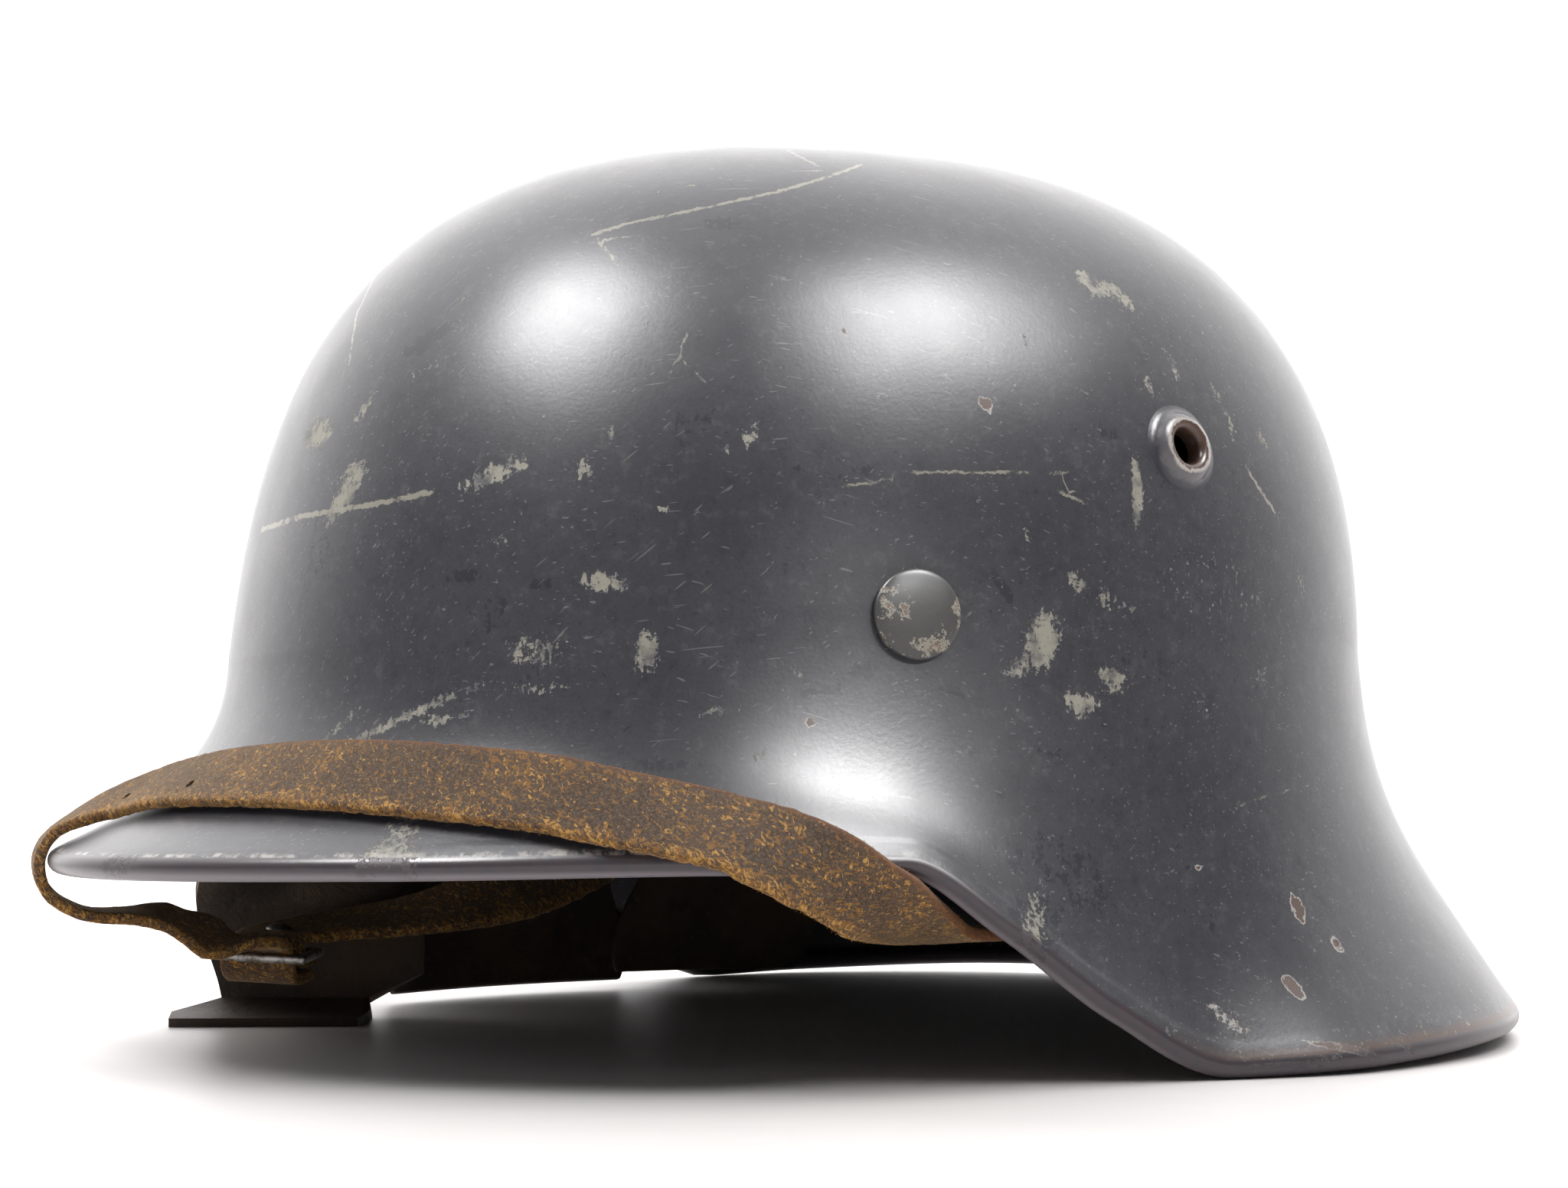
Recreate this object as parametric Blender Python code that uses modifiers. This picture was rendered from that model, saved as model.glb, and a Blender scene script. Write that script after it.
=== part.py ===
"""Steel helmet with a leather liner partly dropped out and its chin strap laid over the visor.

Metres, +Z up. The front faces -Y and the wearer's left is +X. The origin is on the floor under the
middle of the helmet. Plan angles are in degrees: 0 at the front, 90 at the wearer's left, -90 at the
right and 180 at the rear.
"""
import bpy
import bmesh
from math import cos, degrees, pi, radians, sin
from mathutils import Matrix, Vector

# Shell
CROWN_HEIGHT = 0.1659
CROWN_BACK_SHIFT = 0.0085
WAIST_FRONT = 0.1043
WAIST_SIDE = 0.0968
WAIST_REAR = 0.1134
WAIST_SQUARENESS = 2.16
WAIST_HEIGHTS = (0.0695, 0.0770, 0.0696)
EQUATOR_DROP = 0.0223
DOME_FULLNESS = (3.20, 2.75, 2.57)
DOME_SPREAD = 2.6
WALL = 0.0012
VISOR_FLARE = 0.0330
SKIRT_FLARE = 0.0287
VISOR_HEIGHT = 0.0338
FLARE_START = (0.56, 0.70, 0.32)
FLARE_END = (0.405, 0.40, 0.875)
ROLL_RADIUS = 0.0021
ROLL_TURN = 262

# Vent holes
VENT_ANGLE = 109.0
VENT_HEIGHT = 0.1043
VENT_BASE_RADIUS = 0.0067
VENT_LIP_RADIUS = 0.0046
VENT_BORE_RADIUS = 0.0030
VENT_RISE = 0.0021

# Liner rivets
RIVET_ANGLE = 78
RIVET_ABOVE_BAND_BASE = 0.0166
RIVET_HEAD_RADIUS = 0.0073
RIVET_HEAD_EDGE = 0.0007
RIVET_HEAD_RISE = 0.0012
RIVET_SHANK_RADIUS = 0.0024
RIVET_TAIL_RADIUS = 0.0042
RIVET_TAIL_THICKNESS = 0.0010

# Liner
GAP = 0.0003
BAND_SPACING = 0.0080
BAND_THICKNESS = 0.0010
BAND_BASE = 0.0580
BAND_DEPTH = 0.0280
SWEATBAND_DEPTH = 0.0110
LINER_LEATHER = 0.0018
TONGUE_WIDTH = 0.0560
TONGUE_STANDOFF = 0.0120
FOOT_REACH = 0.0240

# Chin strap
STRAP_WIDTH = 0.0140
STRAP_THICKNESS = 0.0020
STRAP_LIFT = 0.0011
STRAP_STEP = 0.0060
STRAP_TURN = 24
BALE_ANGLE = 96
BALE_WIDTH = 0.0220
BALE_THICKNESS = 0.0014
BALE_OVERLAP = 0.0080
BALE_DROP = 0.0120
BALE_BAR = 0.0028
BALE_SLOT_HEIGHT = 0.0056
BUCKLE_LENGTH = 0.0145
BUCKLE_WIDTH = 0.0200
BUCKLE_BAR = 0.0020
BUCKLE_THICKNESS = 0.0016
BUCKLE_HEIGHT = 0.0150

# Rim: plan angle, visor flare share, skirt flare share, height as a share of VISOR_HEIGHT
RIM_ROWS = (
    (0, 1.00, 0.00, 0.93),
    (35, 0.62, 0.00, 0.97),
    (60, 0.36, 0.00, 1.00),
    (76, 0.25, 0.00, 0.99),
    (86, 0.20, 0.09, 0.67),
    (96, 0.10, 0.27, 0.275),
    (106, 0.00, 0.55, 0.00),
    (118, 0.00, 0.84, 0.02),
    (140, 0.00, 1.00, 0.06),
    (180, 0.00, 1.00, 0.05),
)

# Standing tongue: way up the dome as a share from waist to crown, width share
STANDING_ROWS = (
    (0.10, 1.00),
    (0.25, 0.95),
    (0.42, 0.84),
    (0.58, 0.68),
    (0.71, 0.48),
    (0.79, 0.30),
)

# Dropped tongues: drop from band to floor, outward and sideways shares of FOOT_REACH, turn, width, cup
FOOT_TONGUE_ROWS = (
    (-0.12, 0.00, 0.00, 0, 0.92, 1.0),
    (0.04, 0.00, 0.00, 0, 0.92, 1.0),
    (0.20, 0.03, -0.22, -16, 0.90, 0.7),
    (0.36, 0.08, -0.60, -46, 0.86, 0.35),
    (0.53, 0.16, -0.90, -76, 0.84, 0.1),
    (0.70, 0.06, -0.94, -86, 0.80, 0.0),
    (0.87, -0.02, -0.94, -90, 0.73, 0.0),
    (0.96, 0.18, -0.90, -90, 0.52, 0.0),
    (1.00, 0.34, -0.62, -90, 0.70, 0.0),
    (1.00, 0.33, -0.04, -90, 0.64, 0.0),
)
SIDE_TONGUE_ROWS = (
    (-0.12, 0.00, 0.00, 0, 0.86, 1.0),
    (0.04, 0.00, 0.00, 0, 0.86, 1.0),
    (0.26, 0.10, -0.04, 0, 0.92, 1.0),
    (0.50, 0.24, -0.14, 0, 1.02, 1.0),
    (0.74, 0.26, -0.24, 0, 1.06, 1.0),
    (0.92, 0.20, -0.28, 0, 1.06, 1.0),
    (0.98, 0.16, -0.29, 0, 1.00, 1.0),
)
REAR_TONGUE_ROWS = (
    (-0.12, 0.00, -0.20, 0, 0.60, 1.0),
    (0.04, 0.00, -0.20, 0, 0.60, 1.0),
    (0.35, -0.06, -0.06, 0, 0.66, 1.0),
    (0.60, -0.12, 0.26, 0, 0.78, 1.0),
    (0.85, -0.14, 0.48, 0, 0.80, 1.0),
    (0.94, -0.14, 0.52, 0, 0.70, 1.0),
)
TONGUE_ANGLES = (22.5, 67.5, 112.5, 157.5, -157.5, -112.5, -67.5, -22.5)
DROPPED_TONGUES = {-22.5: FOOT_TONGUE_ROWS, -67.5: SIDE_TONGUE_ROWS, -112.5: REAR_TONGUE_ROWS}

# Strap from under the rim up onto it: plan angle, out and up from the rim in strap widths, width direction
UNDER_RIM_ROWS = (
    (95.4, -1.18, 1.79, (-0.55, 0.83, 0.00)),
    (93.8, -1.17, 1.22, (-0.88, 0.45, 0.00)),
    (89.4, -1.15, 0.41, (-0.99, 0.00, -0.05)),
    (81.4, -0.94, -0.40, (-0.94, -0.33, -0.12)),
    (76.4, -0.43, -0.51, (-0.67, -0.61, -0.42)),
    (74.1, -0.14, -0.35, (-0.48, -0.59, -0.64)),
    (72.5, -0.02, -0.26, (-0.42, -0.46, -0.79)),
    (70.4, 0.07, -0.07, (-0.29, -0.43, -0.85)),
    (67.7, 0.20, 0.13, (-0.12, -0.45, -0.89)),
)

# Strap on the shell: plan angle, height as a share of VISOR_HEIGHT
ON_SHELL_ROWS = (
    (61.5, 1.148), (57, 1.210), (52, 1.266), (46, 1.334), (39.5, 1.370),
    (32, 1.399), (24, 1.408), (14, 1.391), (5, 1.355),
)

# Strap over the front of the rim and back under it, in the same measures as UNDER_RIM_ROWS
OVER_FRONT_ROWS = (
    (-3.8, -1.02, 0.97, (0.62, -0.62, -0.48)),
    (-6.0, -0.60, 0.80, (0.88, -0.38, -0.28)),
    (-7.0, -0.14, 0.54, (0.985, -0.17, 0.00)),
    (-7.2, 0.06, 0.32, (0.99, -0.14, 0.00)),
    (-7.4, 0.12, 0.10, (0.99, -0.13, 0.00)),
    (-7.5, 0.08, -0.14, (0.99, -0.14, 0.00)),
    (-7.5, -0.08, -0.36, (0.985, -0.17, 0.00)),
    (-7.5, -0.50, -0.56, (0.985, -0.17, 0.00)),
    (-7.5, -1.07, -0.59, (0.985, -0.17, -0.05)),
    (-7.8, -1.50, -0.64, (0.96, -0.10, -0.25)),
    (-8.6, -1.90, -0.86, (0.80, 0.20, -0.56)),
)

# Short strap inside the ring: plan angle, inward from the ring and up from the floor in strap widths
INSIDE_ROWS = (
    (-24.5, 0.27, 1.30, (0.87, 0.50, -0.15)),
    (-27.8, 0.75, 1.36, (0.98, 0.00, -0.25)),
    (-30.8, 1.56, 1.46, (0.90, -0.23, -0.40)),
    (-36.0, 2.26, 1.61, (0.80, -0.10, -0.60)),
    (-49.4, 2.58, 1.82, (0.60, 0.10, -0.79)),
    (-71.7, 2.08, 2.14, (0.40, 0.00, -0.92)),
    (-88.5, 1.04, 2.46, (0.22, -0.45, -0.86)),
    (-94.3, 0.39, 2.64, (0.12, -0.85, -0.50)),
)

# Mesh fineness
SHELL_COLUMNS = 30
DOME_STEPS = 11
FLARE_STEPS = 7
ROLL_STEPS = 5
ROUND_STEPS = 24
RING_COLUMNS = 24
TONGUE_COLUMNS = 4
ROUTE_STEPS = 12
SMALL_ANGLE = 0.5
SMALL_SHARE = 0.004


def clear_scene():
    """Start from an empty scene."""
    for item in list(bpy.data.objects):
        bpy.data.objects.remove(item, do_unlink=True)


def make_material(name, colour, roughness, metallic):
    """Plain material with the colour of one part."""
    material = bpy.data.materials.new(name)
    material.use_nodes = True
    shader = material.node_tree.nodes["Principled BSDF"]
    shader.inputs["Base Color"].default_value = (*colour, 1.0)
    shader.inputs["Roughness"].default_value = roughness
    shader.inputs["Metallic"].default_value = metallic
    return material


def blend(angle, values):
    """Mix front, side and rear values round the plan."""
    front, side, rear = values
    end = front if abs(angle) < 90 else rear
    return side + (end - side) * cos(radians(angle)) ** 2


def read_rows(rows, column, at):
    """Read a column of a table with a smooth curve that keeps between its rows."""
    xs = [row[0] for row in rows]
    ys = [row[column] for row in rows]
    steps = [(y1 - y0) / (x1 - x0) for x0, x1, y0, y1 in zip(xs, xs[1:], ys, ys[1:])]
    inner = [2 * a * b / (a + b) if a * b > 0 else 0.0 for a, b in zip(steps, steps[1:])]
    slopes = [0.0] + inner + [0.0]
    i = max(k for k in range(len(steps)) if xs[k] <= at or k == 0)
    width = xs[i + 1] - xs[i]
    s = (at - xs[i]) / width
    start = (2 * s ** 3 - 3 * s ** 2 + 1) * ys[i] + (s ** 3 - 2 * s ** 2 + s) * width * slopes[i]
    end = (3 * s ** 2 - 2 * s ** 3) * ys[i + 1] + (s ** 3 - s ** 2) * width * slopes[i + 1]
    return start + end


def rim_flare(angle):
    """How far the rim stands out from the waist."""
    at = abs(angle)
    return VISOR_FLARE * read_rows(RIM_ROWS, 1, at) + SKIRT_FLARE * read_rows(RIM_ROWS, 2, at)


def rim_height(angle):
    """Height of the underside of the rim."""
    return VISOR_HEIGHT * read_rows(RIM_ROWS, 3, abs(angle))


def plan_radius(angle, inset=0.0):
    """Radius of the waist, or of an oval set in from it."""
    along = (WAIST_FRONT if abs(angle) < 90 else WAIST_REAR) - inset
    across = WAIST_SIDE - inset
    a = radians(angle)
    n = WAIST_SQUARENESS
    return (abs(cos(a) / along) ** n + abs(sin(a) / across) ** n) ** (-1 / n)


# The chin strap stands out past the front of the visor, so the middle lies a little forward
CENTRE_Y = (WAIST_REAR + SKIRT_FLARE - WAIST_FRONT - VISOR_FLARE - STRAP_THICKNESS - 2 * GAP) / 2


def plan_point(angle, radius, height):
    """Point at a plan angle, radius and height."""
    a = radians(angle)
    return Vector((radius * sin(a), -radius * cos(a) - CENTRE_Y, height))


def bezier(points, s):
    """Point of a cubic Bezier curve in radius and height."""
    a, b, c, d = points
    r = 1 - s
    return a * r ** 3 + b * 3 * r * r * s + c * 3 * r * s * s + d * s ** 3


def shell_point(angle, down):
    """Point on the outer face: down runs from 0 at the crown to 1 at the waist and 2 at the rim."""
    waist_r = plan_radius(angle)
    waist_z = blend(angle, WAIST_HEIGHTS)
    fullness = blend(angle, DOME_FULLNESS)
    equator_z = waist_z - EQUATOR_DROP
    rise = CROWN_HEIGHT - equator_z
    low = EQUATOR_DROP / rise
    equator_r = waist_r / (1 - low ** fullness) ** (1 / fullness)
    if down <= 1:
        share = 1 - (1 - low) * sin(down * pi / 2) ** DOME_SPREAD
        radius = equator_r * max(1 - share ** fullness, 0.0) ** (1 / fullness)
        height = equator_z + rise * share
        back = CROWN_BACK_SHIFT * (height - waist_z) / (CROWN_HEIGHT - waist_z)
        return plan_point(angle, radius, height) + Vector((0, back, 0))
    slope = -low ** (fullness - 1) * (1 - low ** fullness) ** (1 / fullness - 1) * equator_r / rise
    rim = Vector((waist_r + rim_flare(angle), rim_height(angle)))
    reach = blend(angle, FLARE_START) * (waist_z - rim.y)
    start = Vector((waist_r, waist_z))
    leave = Vector((waist_r - slope * reach, waist_z - reach))
    way = (rim - leave).normalized()
    up = Vector((-way.y, way.x))
    edge = rim + Vector((-ROLL_RADIUS, ROLL_RADIUS)) + up * ROLL_RADIUS
    arrive = edge - (rim - leave) * blend(angle, FLARE_END)
    flat = bezier((start, leave, arrive, edge), down - 1)
    return plan_point(angle, flat.x, flat.y)


def shell_normal(angle, down):
    """Outward normal of the outer face."""
    side = shell_point(angle + SMALL_ANGLE, down) - shell_point(angle - SMALL_ANGLE, down)
    if down >= 2 - SMALL_SHARE:
        fall = shell_point(angle, down) - shell_point(angle, down - SMALL_SHARE)
    else:
        fall = shell_point(angle, down + SMALL_SHARE) - shell_point(angle, down - SMALL_SHARE)
    return fall.cross(side).normalized()


def share_at_height(angle, height):
    """Find how far down the shell a height lies at an angle."""
    low, high = 0.0, 2.0
    for _ in range(40):
        middle = (low + high) / 2
        if shell_point(angle, middle).z > height:
            low = middle
        else:
            high = middle
    return low


def roll_point(angle, turn):
    """Point on the rolled rim: turn is how far it has curled under, in degrees."""
    edge = shell_point(angle, 2)
    along = (shell_point(angle + SMALL_ANGLE, 2) - shell_point(angle - SMALL_ANGLE, 2)).normalized()
    out = shell_normal(angle, 2)
    away = along.cross(out).normalized()
    t = radians(turn)
    return edge - out * ROLL_RADIUS * (1 - cos(t)) + away * ROLL_RADIUS * sin(t)


def add_to(collection, item, material):
    """Put an object in a collection with its material."""
    for old in list(item.users_collection):
        old.objects.unlink(item)
    collection.objects.link(item)
    item.data.materials.clear()
    item.data.materials.append(material)
    return item


def mesh_object(name, points, faces, collection, material):
    """Make a mesh object from points and faces."""
    mesh = bpy.data.meshes.new(name)
    mesh.from_pydata([tuple(p) for p in points], [], faces)
    mesh.update()
    return add_to(collection, bpy.data.objects.new(name, mesh), material)


def grid_faces(rows, columns, closed=False):
    """Faces of a grid of points, facing the way that rows run down and columns run to the left."""
    faces = []
    last = columns if closed else columns - 1
    for r in range(rows - 1):
        for c in range(last):
            d = (c + 1) % columns
            faces.append((r * columns + c, (r + 1) * columns + c, (r + 1) * columns + d, r * columns + d))
    return faces


def thicken(item, thickness, offset):
    """Give an open surface its wall."""
    solid = item.modifiers.new("Wall", "SOLIDIFY")
    solid.thickness = thickness
    solid.offset = offset
    solid.use_even_offset = True
    return item


def boolean(item, other, operation):
    """Join or cut an object with another."""
    change = item.modifiers.new(operation.title(), "BOOLEAN")
    change.operation = operation
    change.solver = "EXACT"
    change.object = other


def shade_round(item):
    """Shade the round faces smooth."""
    item.data.shade_smooth()
    item.data.set_sharp_from_angle(angle=radians(35))


def turned(name, profile, collection, material):
    """Turn a profile of radius and height pairs round Z, outer side top to bottom."""
    points = [Vector((r, 0, z)) for r, z in profile]
    closed = profile[0][0] > 0
    mesh = bpy.data.meshes.new(name)
    edges = [(i, i + 1) for i in range(len(points) - 1)]
    if closed:
        edges.append((len(points) - 1, 0))
    mesh.from_pydata([tuple(p) for p in points], edges, [])
    item = add_to(collection, bpy.data.objects.new(name, mesh), material)
    screw = item.modifiers.new("Turn", "SCREW")
    screw.steps = ROUND_STEPS
    screw.render_steps = ROUND_STEPS
    screw.use_merge_vertices = True
    screw.merge_threshold = 0.00002
    return item


def aim(item, point, normal):
    """Set an object at a point with its Z along a normal."""
    item.matrix_world = Matrix.Translation(point) @ normal.to_track_quat("Z", "Y").to_matrix().to_4x4()


def cutter_rod(name, radius, length, point, normal, collection):
    """Round rod that cuts a hole."""
    bpy.ops.mesh.primitive_cylinder_add(vertices=ROUND_STEPS, radius=radius, depth=length)
    rod = bpy.context.object
    rod.name = name
    for old in list(rod.users_collection):
        old.objects.unlink(rod)
    collection.objects.link(rod)
    rod.hide_render = True
    rod.display_type = "WIRE"
    aim(rod, point, normal)
    return rod


def box_cutter(name, size, matrix, collection):
    """Box that cuts a flat face."""
    bpy.ops.mesh.primitive_cube_add(size=1)
    box = bpy.context.object
    box.name = name
    box.data.transform(Matrix.Diagonal((*size, 1)))
    for old in list(box.users_collection):
        old.objects.unlink(box)
    collection.objects.link(box)
    box.hide_render = True
    box.display_type = "WIRE"
    box.matrix_world = matrix
    return box


def rivet_places():
    """Names, points and normals of the three liner rivets."""
    places = []
    for name, angle in (("left", RIVET_ANGLE), ("right", -RIVET_ANGLE), ("rear", 180)):
        down = share_at_height(angle, BAND_BASE + RIVET_ABOVE_BAND_BASE)
        places.append((name, shell_point(angle, down), shell_normal(angle, down)))
    return places


def vent_places():
    """Points and normals of the two vent holes."""
    places = []
    for angle in (VENT_ANGLE, -VENT_ANGLE):
        down = share_at_height(angle, VENT_HEIGHT)
        places.append((shell_point(angle, down), shell_normal(angle, down)))
    return places


def build_shell(parts, cutters, material):
    """Half surface mirrored and given its wall, with raised vents and rivet holes."""
    angles = [180 * c / SHELL_COLUMNS for c in range(SHELL_COLUMNS + 1)]
    rows = [[shell_point(a, (r + 1) / DOME_STEPS) for a in angles] for r in range(DOME_STEPS)]
    rows += [[shell_point(a, 1 + (r + 1) / FLARE_STEPS) for a in angles] for r in range(FLARE_STEPS)]
    rows += [[roll_point(a, ROLL_TURN * (r + 1) / ROLL_STEPS) for a in angles] for r in range(ROLL_STEPS)]
    points = [p for row in rows for p in row]
    columns = len(angles)
    for i, p in enumerate(points):
        if i % columns in (0, columns - 1):
            p.x = 0.0
    faces = grid_faces(len(rows), columns)
    crown = len(points)
    points.append(shell_point(0, 0))
    faces += [(crown, c, c + 1) for c in range(columns - 1)]
    shell = mesh_object("shell", points, faces, parts, material)
    mirror = shell.modifiers.new("Other half", "MIRROR")
    mirror.merge_threshold = 0.00002
    thicken(shell, WALL, -1)
    collar = VENT_LIP_RADIUS * 1.2
    seat = -WALL * 0.55
    collar_end = -WALL * 1.35
    vent = ((VENT_BORE_RADIUS, VENT_RISE * 0.6), (VENT_BORE_RADIUS * 1.2, VENT_RISE * 0.9),
            (VENT_LIP_RADIUS * 0.9, VENT_RISE), (VENT_LIP_RADIUS * 1.1, VENT_RISE * 0.85),
            (VENT_BASE_RADIUS * 0.85, VENT_RISE * 0.35), (VENT_BASE_RADIUS, 0), (VENT_BASE_RADIUS, seat),
            (collar, seat), (collar, collar_end), (VENT_BORE_RADIUS, collar_end))
    for i, (point, normal) in enumerate(vent_places()):
        rod = cutter_rod(f"vent_hole_{i}", VENT_LIP_RADIUS, VENT_RISE * 6, point, normal, cutters)
        boolean(shell, rod, "DIFFERENCE")
        ring = turned(f"vent_ring_{i}", vent, cutters, material)
        ring.hide_render = True
        ring.display_type = "WIRE"
        aim(ring, point, normal)
        boolean(shell, ring, "UNION")
    for name, point, normal in rivet_places():
        hole = RIVET_SHANK_RADIUS + GAP
        rod = cutter_rod(f"rivet_hole_{name}", hole, BAND_SPACING * 4, point, normal, cutters)
        boolean(shell, rod, "DIFFERENCE")
    weld = shell.modifiers.new("Weld", "WELD")
    weld.merge_threshold = 0.00003
    shade_round(shell)


def build_rivets(parts, material):
    """Domed heads outside, shanks through the wall and band, and flat tails inside."""
    depth = WALL + BAND_SPACING + BAND_THICKNESS
    rings = 4
    dome = [(RIVET_HEAD_RADIUS * sin(pi / 2 * k / rings),
             GAP + RIVET_HEAD_EDGE + RIVET_HEAD_RISE * cos(pi / 2 * k / rings)) for k in range(rings + 1)]
    dome[0] = (0.0, dome[0][1])
    for name, point, normal in rivet_places():
        tail = depth + GAP * 3
        profile = dome + [
            (RIVET_HEAD_RADIUS, GAP),
            (RIVET_SHANK_RADIUS, GAP),
            (RIVET_SHANK_RADIUS, -tail),
            (RIVET_TAIL_RADIUS, -tail),
            (RIVET_TAIL_RADIUS, -tail - RIVET_TAIL_THICKNESS),
            (0.0, -tail - RIVET_TAIL_THICKNESS),
        ]
        rivet = turned(f"rivet_{name}", profile, parts, material)
        aim(rivet, point, normal)
        shade_round(rivet)


def ring_object(name, inset, base, depth, thickness, parts, material):
    """Oval ring set in from the waist, its wall growing inward."""
    angles = [360 * c / (2 * RING_COLUMNS) - 180 for c in range(2 * RING_COLUMNS)]
    points = [plan_point(a, plan_radius(a, inset), base + depth) for a in angles]
    points += [plan_point(a, plan_radius(a, inset), base) for a in angles]
    ring = mesh_object(name, points, grid_faces(2, len(angles), closed=True), parts, material)
    return thicken(ring, thickness, -1)


def build_rings(parts, cutters, metal, leather):
    """Liner band on the rivets and the leather sweatband inside its lower edge."""
    inset = WALL + BAND_SPACING
    band = ring_object("liner_band", inset, BAND_BASE, BAND_DEPTH, BAND_THICKNESS, parts, metal)
    for name in ("left", "right", "rear"):
        boolean(band, bpy.data.objects[f"rivet_hole_{name}"], "DIFFERENCE")
    inset += BAND_THICKNESS + GAP
    ring_object("sweatband", inset, BAND_BASE, SWEATBAND_DEPTH, LINER_LEATHER, parts, leather)


def tongue_inset():
    """Inset of the middle of a tongue's leather where it lies on the sweatband."""
    return WALL + BAND_SPACING + BAND_THICKNESS + 2 * GAP + LINER_LEATHER * 1.5 + GAP


def standing_tongue(name, angle, parts, material):
    """Leather finger that runs up inside the dome."""
    sides = [2 * c / TONGUE_COLUMNS - 1 for c in range(TONGUE_COLUMNS + 1)]
    half = TONGUE_WIDTH / 2
    points = []
    for way, share in reversed(STANDING_ROWS):
        down = 1 - way
        spread = degrees(half * share / shell_point(90, down).x)
        for s in sides:
            a = angle + s * spread
            inside = WALL + TONGUE_STANDOFF
            points.append(shell_point(a, down) - shell_normal(a, down) * inside)
    for height in (BAND_BASE + SWEATBAND_DEPTH, BAND_BASE + GAP):
        for s in sides:
            a = angle + s * degrees(half / WAIST_SIDE)
            points.append(plan_point(a, plan_radius(a, tongue_inset()), height))
    tongue = mesh_object(name, points, grid_faces(len(points) // len(sides), len(sides)), parts, material)
    thicken(tongue, LINER_LEATHER, 0)


def dropped_tongue(name, angle, rows, parts, material, floor):
    """Leather finger that has fallen out of the shell."""
    sides = [2 * c / TONGUE_COLUMNS - 1 for c in range(TONGUE_COLUMNS + 1)]
    root = plan_radius(angle, tongue_inset())
    low = LINER_LEATHER / 2 - GAP / 3
    a = radians(angle)
    outward = Vector((sin(a), -cos(a), 0))
    sideways = Vector((cos(a), sin(a), 0))
    points = []
    for drop, out, side, turn, width, cup in rows:
        height = BAND_BASE - drop * (BAND_BASE - low)
        centre = plan_point(angle, root + out * FOOT_REACH, height) + sideways * side * FOOT_REACH
        t = radians(turn)
        along = sideways * cos(t) - outward * sin(t)
        for s in sides:
            way = s * width * TONGUE_WIDTH / 2
            flat = centre + along * way
            at = angle + degrees((side * FOOT_REACH + way) / root)
            ring = plan_point(at, plan_radius(at, tongue_inset()) + out * FOOT_REACH, height)
            points.append(flat.lerp(ring, cup))
    tongue = mesh_object(name, points, grid_faces(len(rows), len(sides)), parts, material)
    thicken(tongue, LINER_LEATHER, 0)
    boolean(tongue, floor, "DIFFERENCE")


def build_tongues(parts, cutters, material):
    """Five fingers up in the dome, and three hanging out at the right."""
    size = (WAIST_SIDE * 3, WAIST_REAR * 3, BAND_BASE)
    floor = box_cutter("floor_cut", size, Matrix.Translation((0, 0, -BAND_BASE / 2)), cutters)
    for i, angle in enumerate(TONGUE_ANGLES):
        name = f"tongue_{i + 1}"
        if angle in DROPPED_TONGUES:
            dropped_tongue(name, angle, DROPPED_TONGUES[angle], parts, material, floor)
        else:
            standing_tongue(name, angle, parts, material)


def bale_frame(angle):
    """Matrix of a bale: X along its width, Y up, Z outward, with its bar at the origin."""
    a = radians(angle)
    outward = Vector((sin(a), -cos(a), 0))
    up = Vector((0, 0, 1))
    along = up.cross(outward)
    radius = plan_radius(angle, WALL + BAND_SPACING) + GAP + BALE_THICKNESS / 2 + GAP
    place = plan_point(angle, radius, BAND_BASE - BALE_DROP + BALE_BAR / 2)
    matrix = Matrix((along, up, outward)).transposed().to_4x4()
    return Matrix.Translation(place) @ matrix


def windowed_plate(name, outer, inner, thickness, matrix, parts, material):
    """Flat plate with a square window, each given as left, bottom, right and top."""
    points = [Vector((x, y, 0)) for x0, y0, x1, y1 in (outer, inner)
              for x, y in ((x0, y0), (x1, y0), (x1, y1), (x0, y1))]
    plate = mesh_object(name, points, grid_faces(2, 4, closed=True), parts, material)
    plate.matrix_world = matrix
    thicken(plate, thickness, 0)


def build_bales(parts, material):
    """Flat plates with a slot for the strap, on the outside of the liner band."""
    half = BALE_WIDTH / 2
    slot = STRAP_WIDTH / 2 + 2 * GAP
    bar = BALE_BAR / 2
    outer = (-half, -bar, half, BALE_DROP + BALE_OVERLAP - bar)
    inner = (-slot, bar, slot, bar + BALE_SLOT_HEIGHT)
    for side, angle in (("left", BALE_ANGLE), ("right", -BALE_ANGLE)):
        windowed_plate(f"bale_{side}", outer, inner, BALE_THICKNESS, bale_frame(angle), parts, material)


def smooth_route(rows, step):
    """Smooth curve through rows of place and width direction, cut to even steps."""
    fine = []
    padded = [rows[0]] + list(rows) + [rows[-1]]
    for a, b, c, d in zip(padded, padded[1:], padded[2:], padded[3:]):
        length = (c[0] - b[0]).length
        leave = (c[0] - a[0]) * length / (length + (b[0] - a[0]).length)
        arrive = (d[0] - b[0]) * length / (length + (d[0] - c[0]).length)
        for k in range(ROUTE_STEPS):
            s = k / ROUTE_STEPS
            place = b[0] * (2 * s ** 3 - 3 * s ** 2 + 1) + c[0] * (3 * s ** 2 - 2 * s ** 3)
            place += leave * (s ** 3 - 2 * s ** 2 + s) + arrive * (s ** 3 - s ** 2)
            fine.append((place, b[1].lerp(c[1], s).normalized()))
    fine.append(rows[-1])
    sections = [fine[0]]
    heading = fine[1][0] - fine[0][0]
    for before, after in zip(fine[1:-1], fine[2:]):
        ahead = after[0] - before[0]
        gone = (before[0] - sections[-1][0]).length
        if gone >= step or (gone >= step / 8 and ahead.angle(heading) > radians(STRAP_TURN)):
            sections.append(before)
            heading = ahead
    sections.append(fine[-1])
    return sections


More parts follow.
